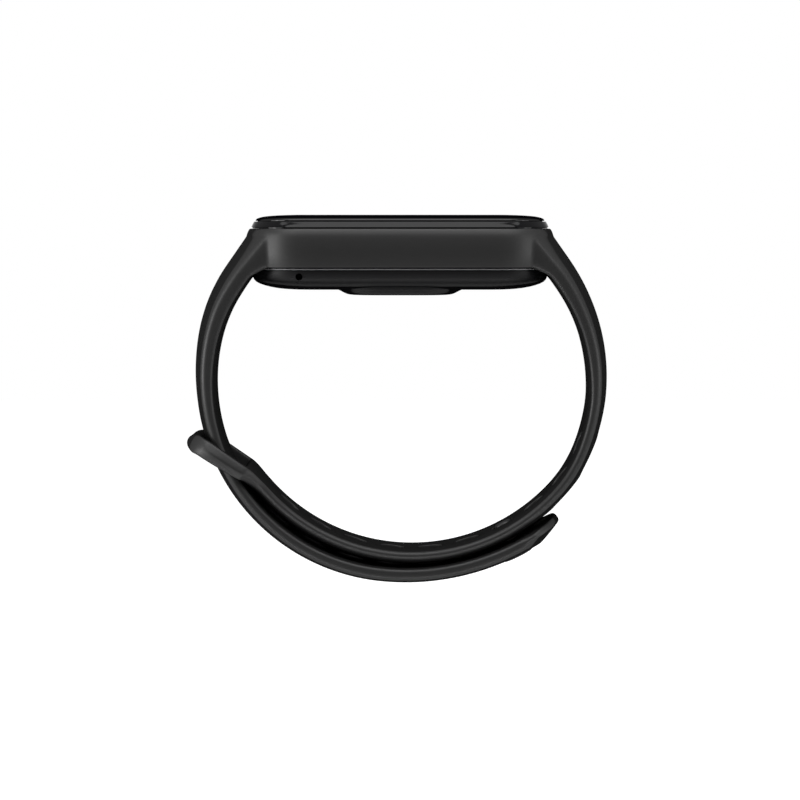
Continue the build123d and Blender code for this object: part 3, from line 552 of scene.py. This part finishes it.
# Frame: a ring mould of slot-shaped outlines (length, width, height), from the pocket's lower
# edge, up the outside, over the top and down the bead that grips the capsule.
FRAME_RINGS = [
    (46.8, 17.7, 17.55), (48.2, 20.05, 17.57), (48.7, 20.66, 19.4), (48.72, 20.42, 21.1),
    (48.58, 20.02, 22.4), (48.28, 19.66, 23.0), (47.75, 19.20, 23.5), (47.4, 18.9, 23.62),
    (46.2, 17.4, 23.66), (44.8, 15.7, 23.48), (44.75, 15.65, 18.15), (46.5, 17.4, 18.02),
    (46.8, 17.7, 17.9),
]
UNDER_RIM, TOP_RIM = 1, 7       # the rings that keep a crisp edge
FRAME_END_RADIUS = 10.3
SHOULDER_TURNS = [62, 76, 90]   # round each end of the frame, beside the strap
STRAIGHT_STEPS = 7
strap_turns = [degrees(asin(y / FRAME_END_RADIUS)) for y in FACE_COLUMNS]
end_turns = [-turn for turn in SHOULDER_TURNS[::-1]] + strap_turns + SHOULDER_TURNS


def slot_steps(turns):
    """Steps once round a slot outline: (end, angle) round an end and (0, distance) along a side."""
    shares = [2 * (i + 1) / (STRAIGHT_STEPS + 1) for i in range(STRAIGHT_STEPS)]
    return ([(1, turn) for turn in turns] + [(0, 1 - share) for share in shares]
            + [(-1, turn) for turn in turns[::-1]] + [(0, 3 + share) for share in shares])


def slot_point(length, width, step):
    """Point (x, y) on a slot outline for one of its steps."""
    kind, value = step
    middle = (length - width) / 2
    if kind:
        return kind * (middle + width / 2 * cos(radians(value))), width / 2 * sin(radians(value))
    if value <= 1:
        return value * middle, width / 2
    return (value - 4) * middle, -width / 2


frame_steps = slot_steps(end_turns)
around, levels = len(frame_steps), len(FRAME_RINGS)
bpy.ops.object.select_all(action="DESELECT")
bpy.ops.mesh.primitive_torus_add(
    major_segments=around, minor_segments=levels, major_radius=1, minor_radius=0.25)
band = bpy.context.object
band.name = band.data.name = "silicone_band"
ring, column = number_vertices(
    band,
    lambda co: round(atan2(co.y, co.x) / (2 * pi) * around) % around,
    lambda co: round(atan2(co.z, sqrt(co.x ** 2 + co.y ** 2) - 1) / (2 * pi) * levels) % levels,
)
for index, point in enumerate(band.data.vertices):
    length, width, height = FRAME_RINGS[column.data[index].value]
    x, y = slot_point(length, width, frame_steps[ring.data[index].value])
    point.co = Vector((x, y, height)) * MM

# The straps grow out of the frame's ends: its faces there are taken out and the borders joined.
JOIN_TOP = 4                    # the ring that the straps' outer side joins
right_first = len(SHOULDER_TURNS)
left_first = len(end_turns) + STRAIGHT_STEPS + len(SHOULDER_TURNS)
for first in (right_first, left_first):
    last = first + LAST_FACE_COLUMN
    edit_faces(band, (first, last), range(JOIN_TOP + 1))
    bpy.ops.mesh.delete(type="FACE")
    bpy.ops.object.mode_set(mode="OBJECT")
    crease(band, 0.9, lambda a, b: a[0] == b[0] in (first, last) and max(a[1], b[1]) <= JOIN_TOP)
    crease(band, 0.4, lambda a, b: a[1] == b[1] == JOIN_TOP and first <= min(a[0], b[0])
           and max(a[0], b[0]) <= last)
for rim, sharpness in ((UNDER_RIM, 0.6), (TOP_RIM, 0.7)):
    crease(band, sharpness, lambda a, b: a[1] == b[1] == rim)
bpy.ops.object.select_all(action="DESELECT")
for piece in (stud_side, hole_side, band):
    piece.select_set(True)
bpy.context.view_layer.objects.active = band
bpy.ops.object.join()
JOINS_ABOVE = 14.5              # the open borders up here are those of the joins
for side in (-1, 1):
    edit_border(band, lambda at: at.x * side > 0 and at.z > JOINS_ABOVE)
    bpy.ops.mesh.bridge_edge_loops(number_cuts=2, interpolation="LINEAR")
    bpy.ops.object.mode_set(mode="OBJECT")
smooth_out(band)
close_cut(band, lambda at: at.x < 0)

# The silicone has the even, very fine grain of its spark-eroded mould. It reflects softly where it
# faces the eye, a little more where it begins to turn away, and no more where it has turned.
silicone, tree = bare_material("moulded_black_silicone")
place = add_node(tree, "ShaderNodeTexCoord")
GRAIN_MM, GRAIN_DEPTH_MM = 0.12, 0.02
grain = add_node(tree, "ShaderNodeTexNoise", [(place.outputs["Object"], "Vector")],
                 Scale=1 / (GRAIN_MM * MM), Detail=3.0, Roughness=0.6)
bump = add_node(tree, "ShaderNodeBump", [(grain.outputs[0], "Height")],
                Strength=0.25, Distance=GRAIN_DEPTH_MM * MM)
facing = add_node(tree, "ShaderNodeLayerWeight", Blend=0.5)
rise = add_node(tree, "ShaderNodeMapRange", [(facing.outputs["Facing"], "Value")],
                From_Min=0.0, From_Max=0.16, To_Min=0.13, To_Max=0.23)
fall = add_node(tree, "ShaderNodeMapRange", [(facing.outputs["Facing"], "Value")],
                From_Min=0.32, From_Max=0.62, To_Min=1.0, To_Max=0.0)
gloss = add_node(tree, "ShaderNodeMath", [(rise.outputs[0], 0), (fall.outputs[0], 1)], operation="MULTIPLY")
skin = add_node(tree, "ShaderNodeBsdfPrincipled", [
    (bump.outputs[0], "Normal"), (gloss.outputs[0], "Specular IOR Level")],
    Base_Color=linear("#1a1a1a"), Roughness=0.38, IOR=1.41, Specular_IOR_Level=0.2)
add_node(tree, "ShaderNodeOutputMaterial", [(skin.outputs[0], "Surface")])
band.data.materials.append(silicone)
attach(band, "band")
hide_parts("strap_frame", "capsule_grip_lip", "stud_strap", "hole_strap", "strap_loop")


# ---------------------------------------------------------------------------------------------
# Free end of the stud strap.  The same moulding, from the keeper loop to the finger tip; it bends
# when the stud is pulled out, so it is a piece of its own.

TIP_CORNER, TIP_ROUNDS_OVER = 8.4, 10.0     # plan radius of the tip's corners, and the length they take
TIP_CORNER_FROM = FACE_COLUMNS[-1] + 1 - TIP_CORNER     # they start this far from the middle line
tip_along = sum(arc_length(arc) for arc in STUD_ROUTE)
thin_from = arc_length(STUD_ROUTE[0]) + arc_length(STUD_ROUTE[1], THIN_FROM_ANGLE)
END_PROFILE = [(seam_along, -0.05, 1.51, 2.72), (arc_length(STUD_ROUTE[0]), 0.0, 1.95, 2.80),
               (thin_from, 0.0, 1.80, 2.72), (tip_along, 0.20, 1.10, 1.48)]
even_run = thin_from - END_ROW_GAP - seam_along
rows = round(even_run / ROW)
alongs = [seam_along + even_run * i / rows for i in range(rows + 1)]
alongs += [thin_from, thin_from + END_ROW_GAP, thin_from + 1.7, tip_along - 1.2, tip_along - 0.5, tip_along]
end_rings = []
for along in alongs:
    pulled = ramp(along, tip_along - TIP_ROUNDS_OVER, tip_along)
    ring = []
    for y, height in section(*between(END_PROFILE, along)):
        over = max(abs(y) - TIP_CORNER_FROM, 0.0)
        rounding = TIP_CORNER - sqrt(TIP_CORNER ** 2 - over ** 2)
        x, z = on_route(STUD_ROUTE, along - rounding * pulled, height)
        ring.append((x, y, z))
    end_rings.append(ring)
free_end = tube("silicone_strap_end", end_rings)
close_rounded_end(free_end, len(end_rings) - 1)
smooth_out(free_end)
close_cut(free_end, lambda at: at.x < 0)
free_end.data.materials.append(silicone)
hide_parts("stud_strap_end")
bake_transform(free_end)


# ---------------------------------------------------------------------------------------------
# Rear case of the capsule.  One shell of satin black plastic with a rolled underside, a raised
# island for the heart-rate sensor, two seats for charging contacts and a microphone hole.

TURN_STEP = 6               # degrees between the outline's points round each end
capsule_steps = slot_steps(list(range(-90, 91, TURN_STEP)))
CASE_LENGTH, CASE_WIDTH = 46.6, 17.5
END_ROLL = 1.3              # the ends roll up over a longer run than the sides
# The underside's roll: (height, how far the side has drawn in).
CASE_ROLL = [(16.6, 0.0), (16.0, 0.04), (15.6, 0.18), (15.25, 0.46), (14.95, 0.9), (14.68, 1.5),
             (14.45, 2.2), (14.26, 3.0), (14.13, 3.9), (14.06, 4.8), (14.05, 5.3)]
# Slot outlines (length, width, height) from the top down, of the shell and of what is cut out of it.
CASE_LEVELS = ([(44.6, 15.5, 23.55), (44.6, 15.5, 18.02), (45.6, 16.5, 18.0), (46.1, 17.0, 17.9),
                (46.0, 16.9, 17.42), (46.42, 17.32, 17.41), (46.54, 17.44, 17.38), (46.6, 17.5, 17.32)]
               + [(CASE_LENGTH - 2 * d * END_ROLL, CASE_WIDTH - 2 * d, h) for h, d in CASE_ROLL])
ISLAND_LEVELS = [(20.6, 13.6, 15.0), (20.2, 13.4, 14.15), (19.5, 12.9, 13.98), (18.9, 12.5, 13.85),
                 (18.2, 12.0, 13.66), (17.5, 11.4, 13.48), (16.8, 10.8, 13.34), (16.1, 10.3, 13.25),
                 (15.2, 9.8, 13.2), (14.6, 9.4, 13.2)]
CAVITY_LEVELS = [(42.6, 13.5, 24.5), (42.6, 13.5, 15.75), (39.6, 10.5, 15.1)]
WINDOW_LEVELS = [(13.1, 8.3, 14.05), (13.1, 8.3, 12.5)]
WELL_LEVELS = [(11.6, 6.8, 15.6), (11.6, 6.8, 13.5)]
# Round holes: (radius, from, to) along the hole's axis.
CONTACT_SEAT, CONTACT_BORE = (1.12, 13.0, 14.55), (0.62, 14.0, 15.7)
MIC_HOLE, MIC_AT = (0.55, 6.0, 12.0), (-15.7, 0.0, 16.15)
SURE = 0.001                # closer than this, two heights are the same


def stack(name, levels):
    """A closed solid through slot outlines (length, width, height) listed from the top down."""
    piece = tube(name, [[(*slot_point(length, width, step), height) for step in capsule_steps]
                        for length, width, height in levels])
    for height in (levels[0][2], levels[-1][2]):
        edit_border(piece, lambda at: abs(at.z - height) < SURE)
        bpy.ops.mesh.edge_face_add()
        bpy.ops.object.mode_set(mode="OBJECT")
    face_outwards()
    return piece


def round_bar(name, size, place):
    """A round cutter: upright at (x, y) for a seat, and along -Y at (x, 0, z) for the microphone."""
    bpy.ops.object.select_all(action="DESELECT")
    radius, low, high = size
    upright = len(place) == 2
    middle = (*place, (low + high) / 2) if upright else (place[0], -(low + high) / 2, place[2])
    bpy.ops.mesh.primitive_cylinder_add(
        vertices=48, radius=radius * MM, depth=(high - low) * MM, location=Vector(middle) * MM,
        rotation=(0 if upright else pi / 2, 0, 0))
    bpy.ops.object.transform_apply(location=True, rotation=True, scale=True)
    piece = bpy.context.object
    piece.name = name
    return piece


def combine(piece, other, operation):
    """Joins another solid to a piece or cuts it out, and removes the other."""
    bpy.ops.object.select_all(action="DESELECT")
    bpy.context.view_layer.objects.active = piece
    piece.select_set(True)
    cut = piece.modifiers.new(operation.lower(), "BOOLEAN")
    cut.operation, cut.solver, cut.object = operation, "EXACT", other
    bpy.ops.object.modifier_apply(modifier=cut.name)
    bpy.data.objects.remove(other, do_unlink=True)


case = stack("rear_case_shell", CASE_LEVELS)
combine(case, stack("island", ISLAND_LEVELS), "UNION")
combine(case, stack("cavity", CAVITY_LEVELS), "DIFFERENCE")
combine(case, stack("window_recess", WINDOW_LEVELS), "DIFFERENCE")
combine(case, stack("light_well", WELL_LEVELS), "DIFFERENCE")
for node in ("charging_contact_1", "charging_contact_2"):
    low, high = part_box(node)
    middle = (low + high) / 2 / MM
    combine(case, round_bar("contact_seat", CONTACT_SEAT, (middle.x, middle.y)), "DIFFERENCE")
    combine(case, round_bar("contact_bore", CONTACT_BORE, (middle.x, middle.y)), "DIFFERENCE")
combine(case, round_bar("mic_hole", MIC_HOLE, MIC_AT), "DIFFERENCE")
bpy.ops.object.shade_smooth_by_angle(angle=radians(32))

# Spark-eroded satin: a fine even grain that breaks up the gloss.  A thin pale line on the upper edge
# of the side, where the tool closes, is a painted highlight: pale colour in place of the light that edge
# catches.
satin, tree = bare_material("satin_black_polycarbonate")
place = add_node(tree, "ShaderNodeTexCoord")
SATIN_GRAIN_MM, SATIN_DEPTH_MM, HANDLED_MM = 0.09, 0.01, 6
grain = add_node(tree, "ShaderNodeTexNoise", [(place.outputs["Object"], "Vector")],
                 Scale=1 / (SATIN_GRAIN_MM * MM), Detail=2.0, Roughness=0.5)
bump = add_node(tree, "ShaderNodeBump", [(grain.outputs[0], "Height")],
                Strength=0.2, Distance=SATIN_DEPTH_MM * MM)
handled = add_node(tree, "ShaderNodeTexNoise", [(place.outputs["Object"], "Vector")],
                   Scale=1 / (HANDLED_MM * MM), Detail=3.0)
rough = add_node(tree, "ShaderNodeMapRange", [(handled.outputs[0], "Value")], To_Min=0.40, To_Max=0.48)
parts = add_node(tree, "ShaderNodeSeparateXYZ", [(place.outputs["Object"], "Vector")])
# Heights of the painted highlight, a thin pale band of colour along the side's upper edge.
PAINTED_HIGHLIGHT_LOW, PAINTED_HIGHLIGHT_HIGH, PAINTED_HIGHLIGHT_FADE = 17.20, 17.44, 0.06
above = add_node(tree, "ShaderNodeMapRange", [(parts.outputs["Z"], "Value")],
                 From_Min=PAINTED_HIGHLIGHT_LOW * MM, From_Max=(PAINTED_HIGHLIGHT_LOW + PAINTED_HIGHLIGHT_FADE) * MM)
below = add_node(tree, "ShaderNodeMapRange", [(parts.outputs["Z"], "Value")],
                 From_Min=PAINTED_HIGHLIGHT_HIGH * MM, From_Max=(PAINTED_HIGHLIGHT_HIGH - PAINTED_HIGHLIGHT_FADE) * MM)
# Mask of the painted highlight band; its pale colour is mixed into the black below.
rim = add_node(tree, "ShaderNodeMath", [(above.outputs[0], 0), (below.outputs[0], 1)], operation="MULTIPLY")
colour = add_node(tree, "ShaderNodeMix", [(rim.outputs[0], "Factor")], data_type="RGBA")
colour.inputs[6].default_value, colour.inputs[7].default_value = linear("#0b0b0c"), linear("#98989a")
facing = add_node(tree, "ShaderNodeLayerWeight", Blend=0.5)
CASE_GLOSS = 0.06
gloss = add_node(tree, "ShaderNodeMapRange", [(facing.outputs["Facing"], "Value")],
                 From_Min=0.30, From_Max=0.70, To_Min=CASE_GLOSS, To_Max=0.0)
shell = add_node(tree, "ShaderNodeBsdfPrincipled", [
    (bump.outputs[0], "Normal"), (rough.outputs[0], "Roughness"), (colour.outputs[2], "Base Color"),
    (gloss.outputs[0], "Specular IOR Level")], IOR=1.58, Specular_IOR_Level=CASE_GLOSS)
add_node(tree, "ShaderNodeOutputMaterial", [(shell.outputs[0], "Surface")])
case.data.materials.append(satin)
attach(case, "capsule")
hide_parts("rear_case")


# ---------------------------------------------------------------------------------------------
# Front bezel and cover glass.  The bezel is a polished black ring bonded to the case; the glass
# is chemically strengthened, printed black on its back, and ground to a long rolled-off edge.

BEZEL_LEVELS = [(45.0, 16.2, 24.75), (46.0, 17.2, 24.75), (46.13, 17.33, 24.73), (46.22, 17.42, 24.67),
                (46.29, 17.49, 24.58), (46.5, 17.7, 24.4), (46.75, 17.95, 24.15), (46.97, 18.17, 23.88),
                (46.86, 18.06, 23.84), (46.64, 17.84, 23.82), (46.64, 17.84, 23.66)]
BEZEL_OPENING = [(42.6, 13.5, 25.5), (42.6, 13.5, 23.0)]
GLASS_LENGTH, GLASS_WIDTH = 45.6, 17.0
# The glass's rolled edge: (height, how far the outline has drawn in).
GLASS_ROLL = [(25.8, 6.9), (25.8, 6.4), (25.785, 5.6), (25.76, 4.7), (25.72, 3.7), (25.67, 2.8),
              (25.61, 2.05), (25.54, 1.45), (25.46, 1.0), (25.37, 0.64), (25.28, 0.37), (25.18, 0.17),
              (25.08, 0.06), (24.98, 0.0), (24.85, 0.0)]

bezel = stack("bezel_ring", BEZEL_LEVELS)
combine(bezel, stack("bezel_opening", BEZEL_OPENING), "DIFFERENCE")
bpy.ops.object.shade_smooth_by_angle(angle=radians(40))
glass = stack("rolled_edge_glass", [(GLASS_LENGTH - 2 * d, GLASS_WIDTH - 2 * d, h) for h, d in GLASS_ROLL])
bpy.ops.object.shade_smooth_by_angle(angle=radians(40))


SMEAR_MM = 9                # size of the faint smears that handling leaves on a gloss
SMEAR_PALER, SMEAR_DULLER = 1.4, 0.05


def polish(name, code, level, level_edge, roughness, index):
    """A black finish, faintly smeared, whose reflection goes from one level to another as it turns away."""
    material, tree = bare_material(name)
    place = add_node(tree, "ShaderNodeTexCoord")
    smears = add_node(tree, "ShaderNodeTexNoise", [(place.outputs["Object"], "Vector")],
                      Scale=1 / (SMEAR_MM * MM), Detail=4.0)
    rough = add_node(tree, "ShaderNodeMapRange", [(smears.outputs[0], "Value")],
                     To_Min=roughness, To_Max=roughness + SMEAR_DULLER)
    depth = add_node(tree, "ShaderNodeMix", [(smears.outputs[0], "Factor")], data_type="RGBA")
    depth.inputs[6].default_value = linear(code)
    depth.inputs[7].default_value = [c * SMEAR_PALER for c in linear(code)[:3]] + [1.0]
    ripple = add_node(tree, "ShaderNodeBump", [(smears.outputs[0], "Height")],
                      Strength=0.05, Distance=0.02 * MM)
    facing = add_node(tree, "ShaderNodeLayerWeight", Blend=0.5)
    gloss = add_node(tree, "ShaderNodeMapRange", [(facing.outputs["Facing"], "Value")],
                     From_Min=0.30, From_Max=0.62, To_Min=level, To_Max=level_edge)
    skin = add_node(tree, "ShaderNodeBsdfPrincipled", [
        (depth.outputs[2], "Base Color"), (rough.outputs[0], "Roughness"), (ripple.outputs[0], "Normal"),
        (gloss.outputs[0], "Specular IOR Level")], IOR=index, Specular_IOR_Level=level)
    add_node(tree, "ShaderNodeOutputMaterial", [(skin.outputs[0], "Surface")])
    return material


# Acrylic polished by its mould: deep black, and the gloss keeps a little of itself edge-on.
bezel.data.materials.append(polish("polished_black_acrylic", "#040405", 0.10, 0.02, 0.06, 1.49))
# Printed black behind clear glass, with a coating that takes away the shallow reflections.
glass.data.materials.append(polish("black_backed_cover_glass", "#030304", 0.16, 0.0, 0.03, 1.52))
for piece, slot_name, node in (
        (bezel, "bezel_gloss", "front_bezel"), (glass, "glass_black", "cover_glass")):
    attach(piece, "capsule")
    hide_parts(node)


# ---------------------------------------------------------------------------------------------
# Fastening stud and its cap.  One acetal turning: a domed head on a neck, pushed through a hole
# of the other strap, and a flat round cap let into the outer face of the free end.

def dress(nodes, material):
    """Gives nodes a material in place of the plain one they come with."""
    for node in nodes:
        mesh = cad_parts[node].data
        mesh.materials.clear()
        mesh.materials.append(material)


# Acetal is slightly waxy, which gives it a soft gloss.
dress(("fastening_stud", "stud_cap"), polish("turned_black_acetal", "#101011", 0.16, 0.0, 0.30, 1.48))


# ---------------------------------------------------------------------------------------------
# Skin-side fittings.  The sensor's window is moulded in smoke-tinted polycarbonate and bonded in
# flush; two gold-plated contacts sit below the case's surface for the charging dock.

# A deep smoke tint that lets the green light out: nearly black, with a hint of red by daylight.
dress(("sensor_window",), polish("smoke_tinted_polycarbonate", "#0a0406", 0.14, 0.0, 0.04, 1.58))


def finish(name, nodes, pale, deep, grain_mm, rough, bump_mm=0.01, metallic=0.0, stretch=(1, 1, 1),
           **extra):
    """Dresses nodes in a finish whose grain varies its colour, its gloss and its surface together."""
    material, tree = bare_material(name)
    place = add_node(tree, "ShaderNodeTexCoord")
    laid = add_node(tree, "ShaderNodeMapping", [(place.outputs["Object"], "Vector")], Scale=stretch)
    grain = add_node(tree, "ShaderNodeTexNoise", [(laid.outputs[0], "Vector")],
                     Scale=1 / (grain_mm * MM), Detail=3.0)
    shade = add_node(tree, "ShaderNodeMix", [(grain.outputs[0], "Factor")], data_type="RGBA")
    shade.inputs[6].default_value, shade.inputs[7].default_value = linear(deep), linear(pale)
    dull = add_node(tree, "ShaderNodeMapRange", [(grain.outputs[0], "Value")],
                    To_Min=rough[0], To_Max=rough[1])
    bump = add_node(tree, "ShaderNodeBump", [(grain.outputs[0], "Height")],
                    Strength=0.3, Distance=bump_mm * MM)
    skin = add_node(tree, "ShaderNodeBsdfPrincipled", [
        (shade.outputs[2], "Base Color"), (dull.outputs[0], "Roughness"), (bump.outputs[0], "Normal")],
        Metallic=metallic, **extra)
    add_node(tree, "ShaderNodeOutputMaterial", [(skin.outputs[0], "Surface")])
    dress(nodes, material)


# Hard gold over nickel, pale yellow, with the fine marks of its turning.
finish("turned_gold_plate", ("charging_contact_1", "charging_contact_2", "antenna"),
       "#b4935a", "#94743f", 0.12, (0.22, 0.34), 0.004, 1.0, (1, 1, 3))


# ---------------------------------------------------------------------------------------------
# Inside the capsule.  The stack from the glass down: film and display, tray, main board with its
# chips, carrier with the battery and the vibration motor, and the optical sensor above its window.

# Indium-tin film on polyester: a smoky sheen.
finish("coated_polyester_film", ("touch_film",),
       "#33343c", "#24252b", 3.0, (0.10, 0.16), 0.002, IOR=1.64)
# The panel is glass over black emitters: deep blue-black and mirror smooth.
finish("oled_panel_glass", ("display_panel",),
       "#10131c", "#080a10", 1.5, (0.05, 0.09), 0.002, IOR=1.52)
# Acrylic adhesive and liquid gaskets are dull black rubber.
finish("black_gasket_adhesive", ("glass_seal", "case_seal", "mic_seal"),
       "#0f0f0f", "#090909", 0.2, (0.75, 0.9), 0.02, IOR=1.48, Specular_IOR_Level=0.1)
# Open-cell urethane foam shows pinholes.
finish("urethane_foam", ("display_foam", "battery_pad"),
       "#3c3c3e", "#1c1c1d", 0.15, (0.85, 0.98), 0.06, IOR=1.45, Sheen_Weight=0.2)
# Stamped stainless sheet keeps the grain of its rolling.
finish("rolled_stainless", ("display_tray", "motor_case", "motor_base"),
       "#c4c4c6", "#98999c", 0.10, (0.28, 0.42), 0.005, 1.0, (0.08, 1, 1))
# Glass-filled nylon is matt black with pale flecks of fibre.
finish("glass_filled_nylon", ("mid_frame", "light_barrier"),
       "#29292b", "#161617", 0.18, (0.55, 0.7), 0.02, IOR=1.53)
# The pouch cell is laminated foil, softly creased and silvery.
finish("laminated_cell_foil", ("battery_cell",),
       "#c9cacd", "#a0a2a6", 2.2, (0.25, 0.4), 0.08, 0.9)
# Solder mask is glossy green over copper, mottled where tracks run beneath.
finish("green_solder_mask", ("main_board", "sensor_board", "battery_board"),
       "#1f6a42", "#114a2c", 0.5, (0.25, 0.4), 0.015, IOR=1.55)
# Filled epoxy packages have a dark grey spark-eroded face.
finish("moulded_chip_epoxy",
       ("processor", "flash_memory", "power_chip", "motion_sensor", "sensor_chip", "display_connector"),
       "#303032", "#1d1d1f", 0.08, (0.5, 0.62), 0.01, IOR=1.55)
# Tin plate is bright and slightly frosted.
finish("tin_plated_steel", ("radio_shield",),
       "#c8c8c4", "#a2a29f", 0.3, (0.25, 0.38), 0.006, 1.0)
# The microphone's port is closed with a black acoustic gauze, dull and finely woven.
finish("black_acoustic_gauze", ("microphone",),
       "#1a1a1b", "#0c0c0d", 0.08, (0.8, 0.95), 0.03, IOR=1.45, Specular_IOR_Level=0.1)
# Polyimide film is clear amber over copper.
finish("polyimide_flex", ("display_flex", "sensor_flex", "mic_flex"),
       "#b5701f", "#8a5012", 0.6, (0.3, 0.42), 0.008, IOR=1.70)
# A lens of clear epoxy over a yellow-green die.
finish("clear_led_epoxy", ("green_led_1", "green_led_2", "green_led_3", "green_led_4"),
       "#d9dfa2", "#b4bf73", 0.4, (0.08, 0.15), 0.004, IOR=1.53)
# Silicon under clear resin: blue-black with a violet cast.
finish("silicon_photodiode", ("photodiode",),
       "#1c1d36", "#101124", 0.6, (0.08, 0.15), 0.003, IOR=1.53)
# Nickel plate over sintered magnet: bright, faintly pebbled.
finish("nickel_plated_magnet", ("dock_magnet_1", "dock_magnet_2", "motor_magnet"),
       "#b9b6b0", "#96938d", 0.15, (0.18, 0.3), 0.01, 1.0)
# Sintered tungsten is a dark granular grey metal.
finish("sintered_tungsten", ("motor_rotor",),
       "#77777b", "#56565a", 0.12, (0.4, 0.55), 0.02, 1.0)
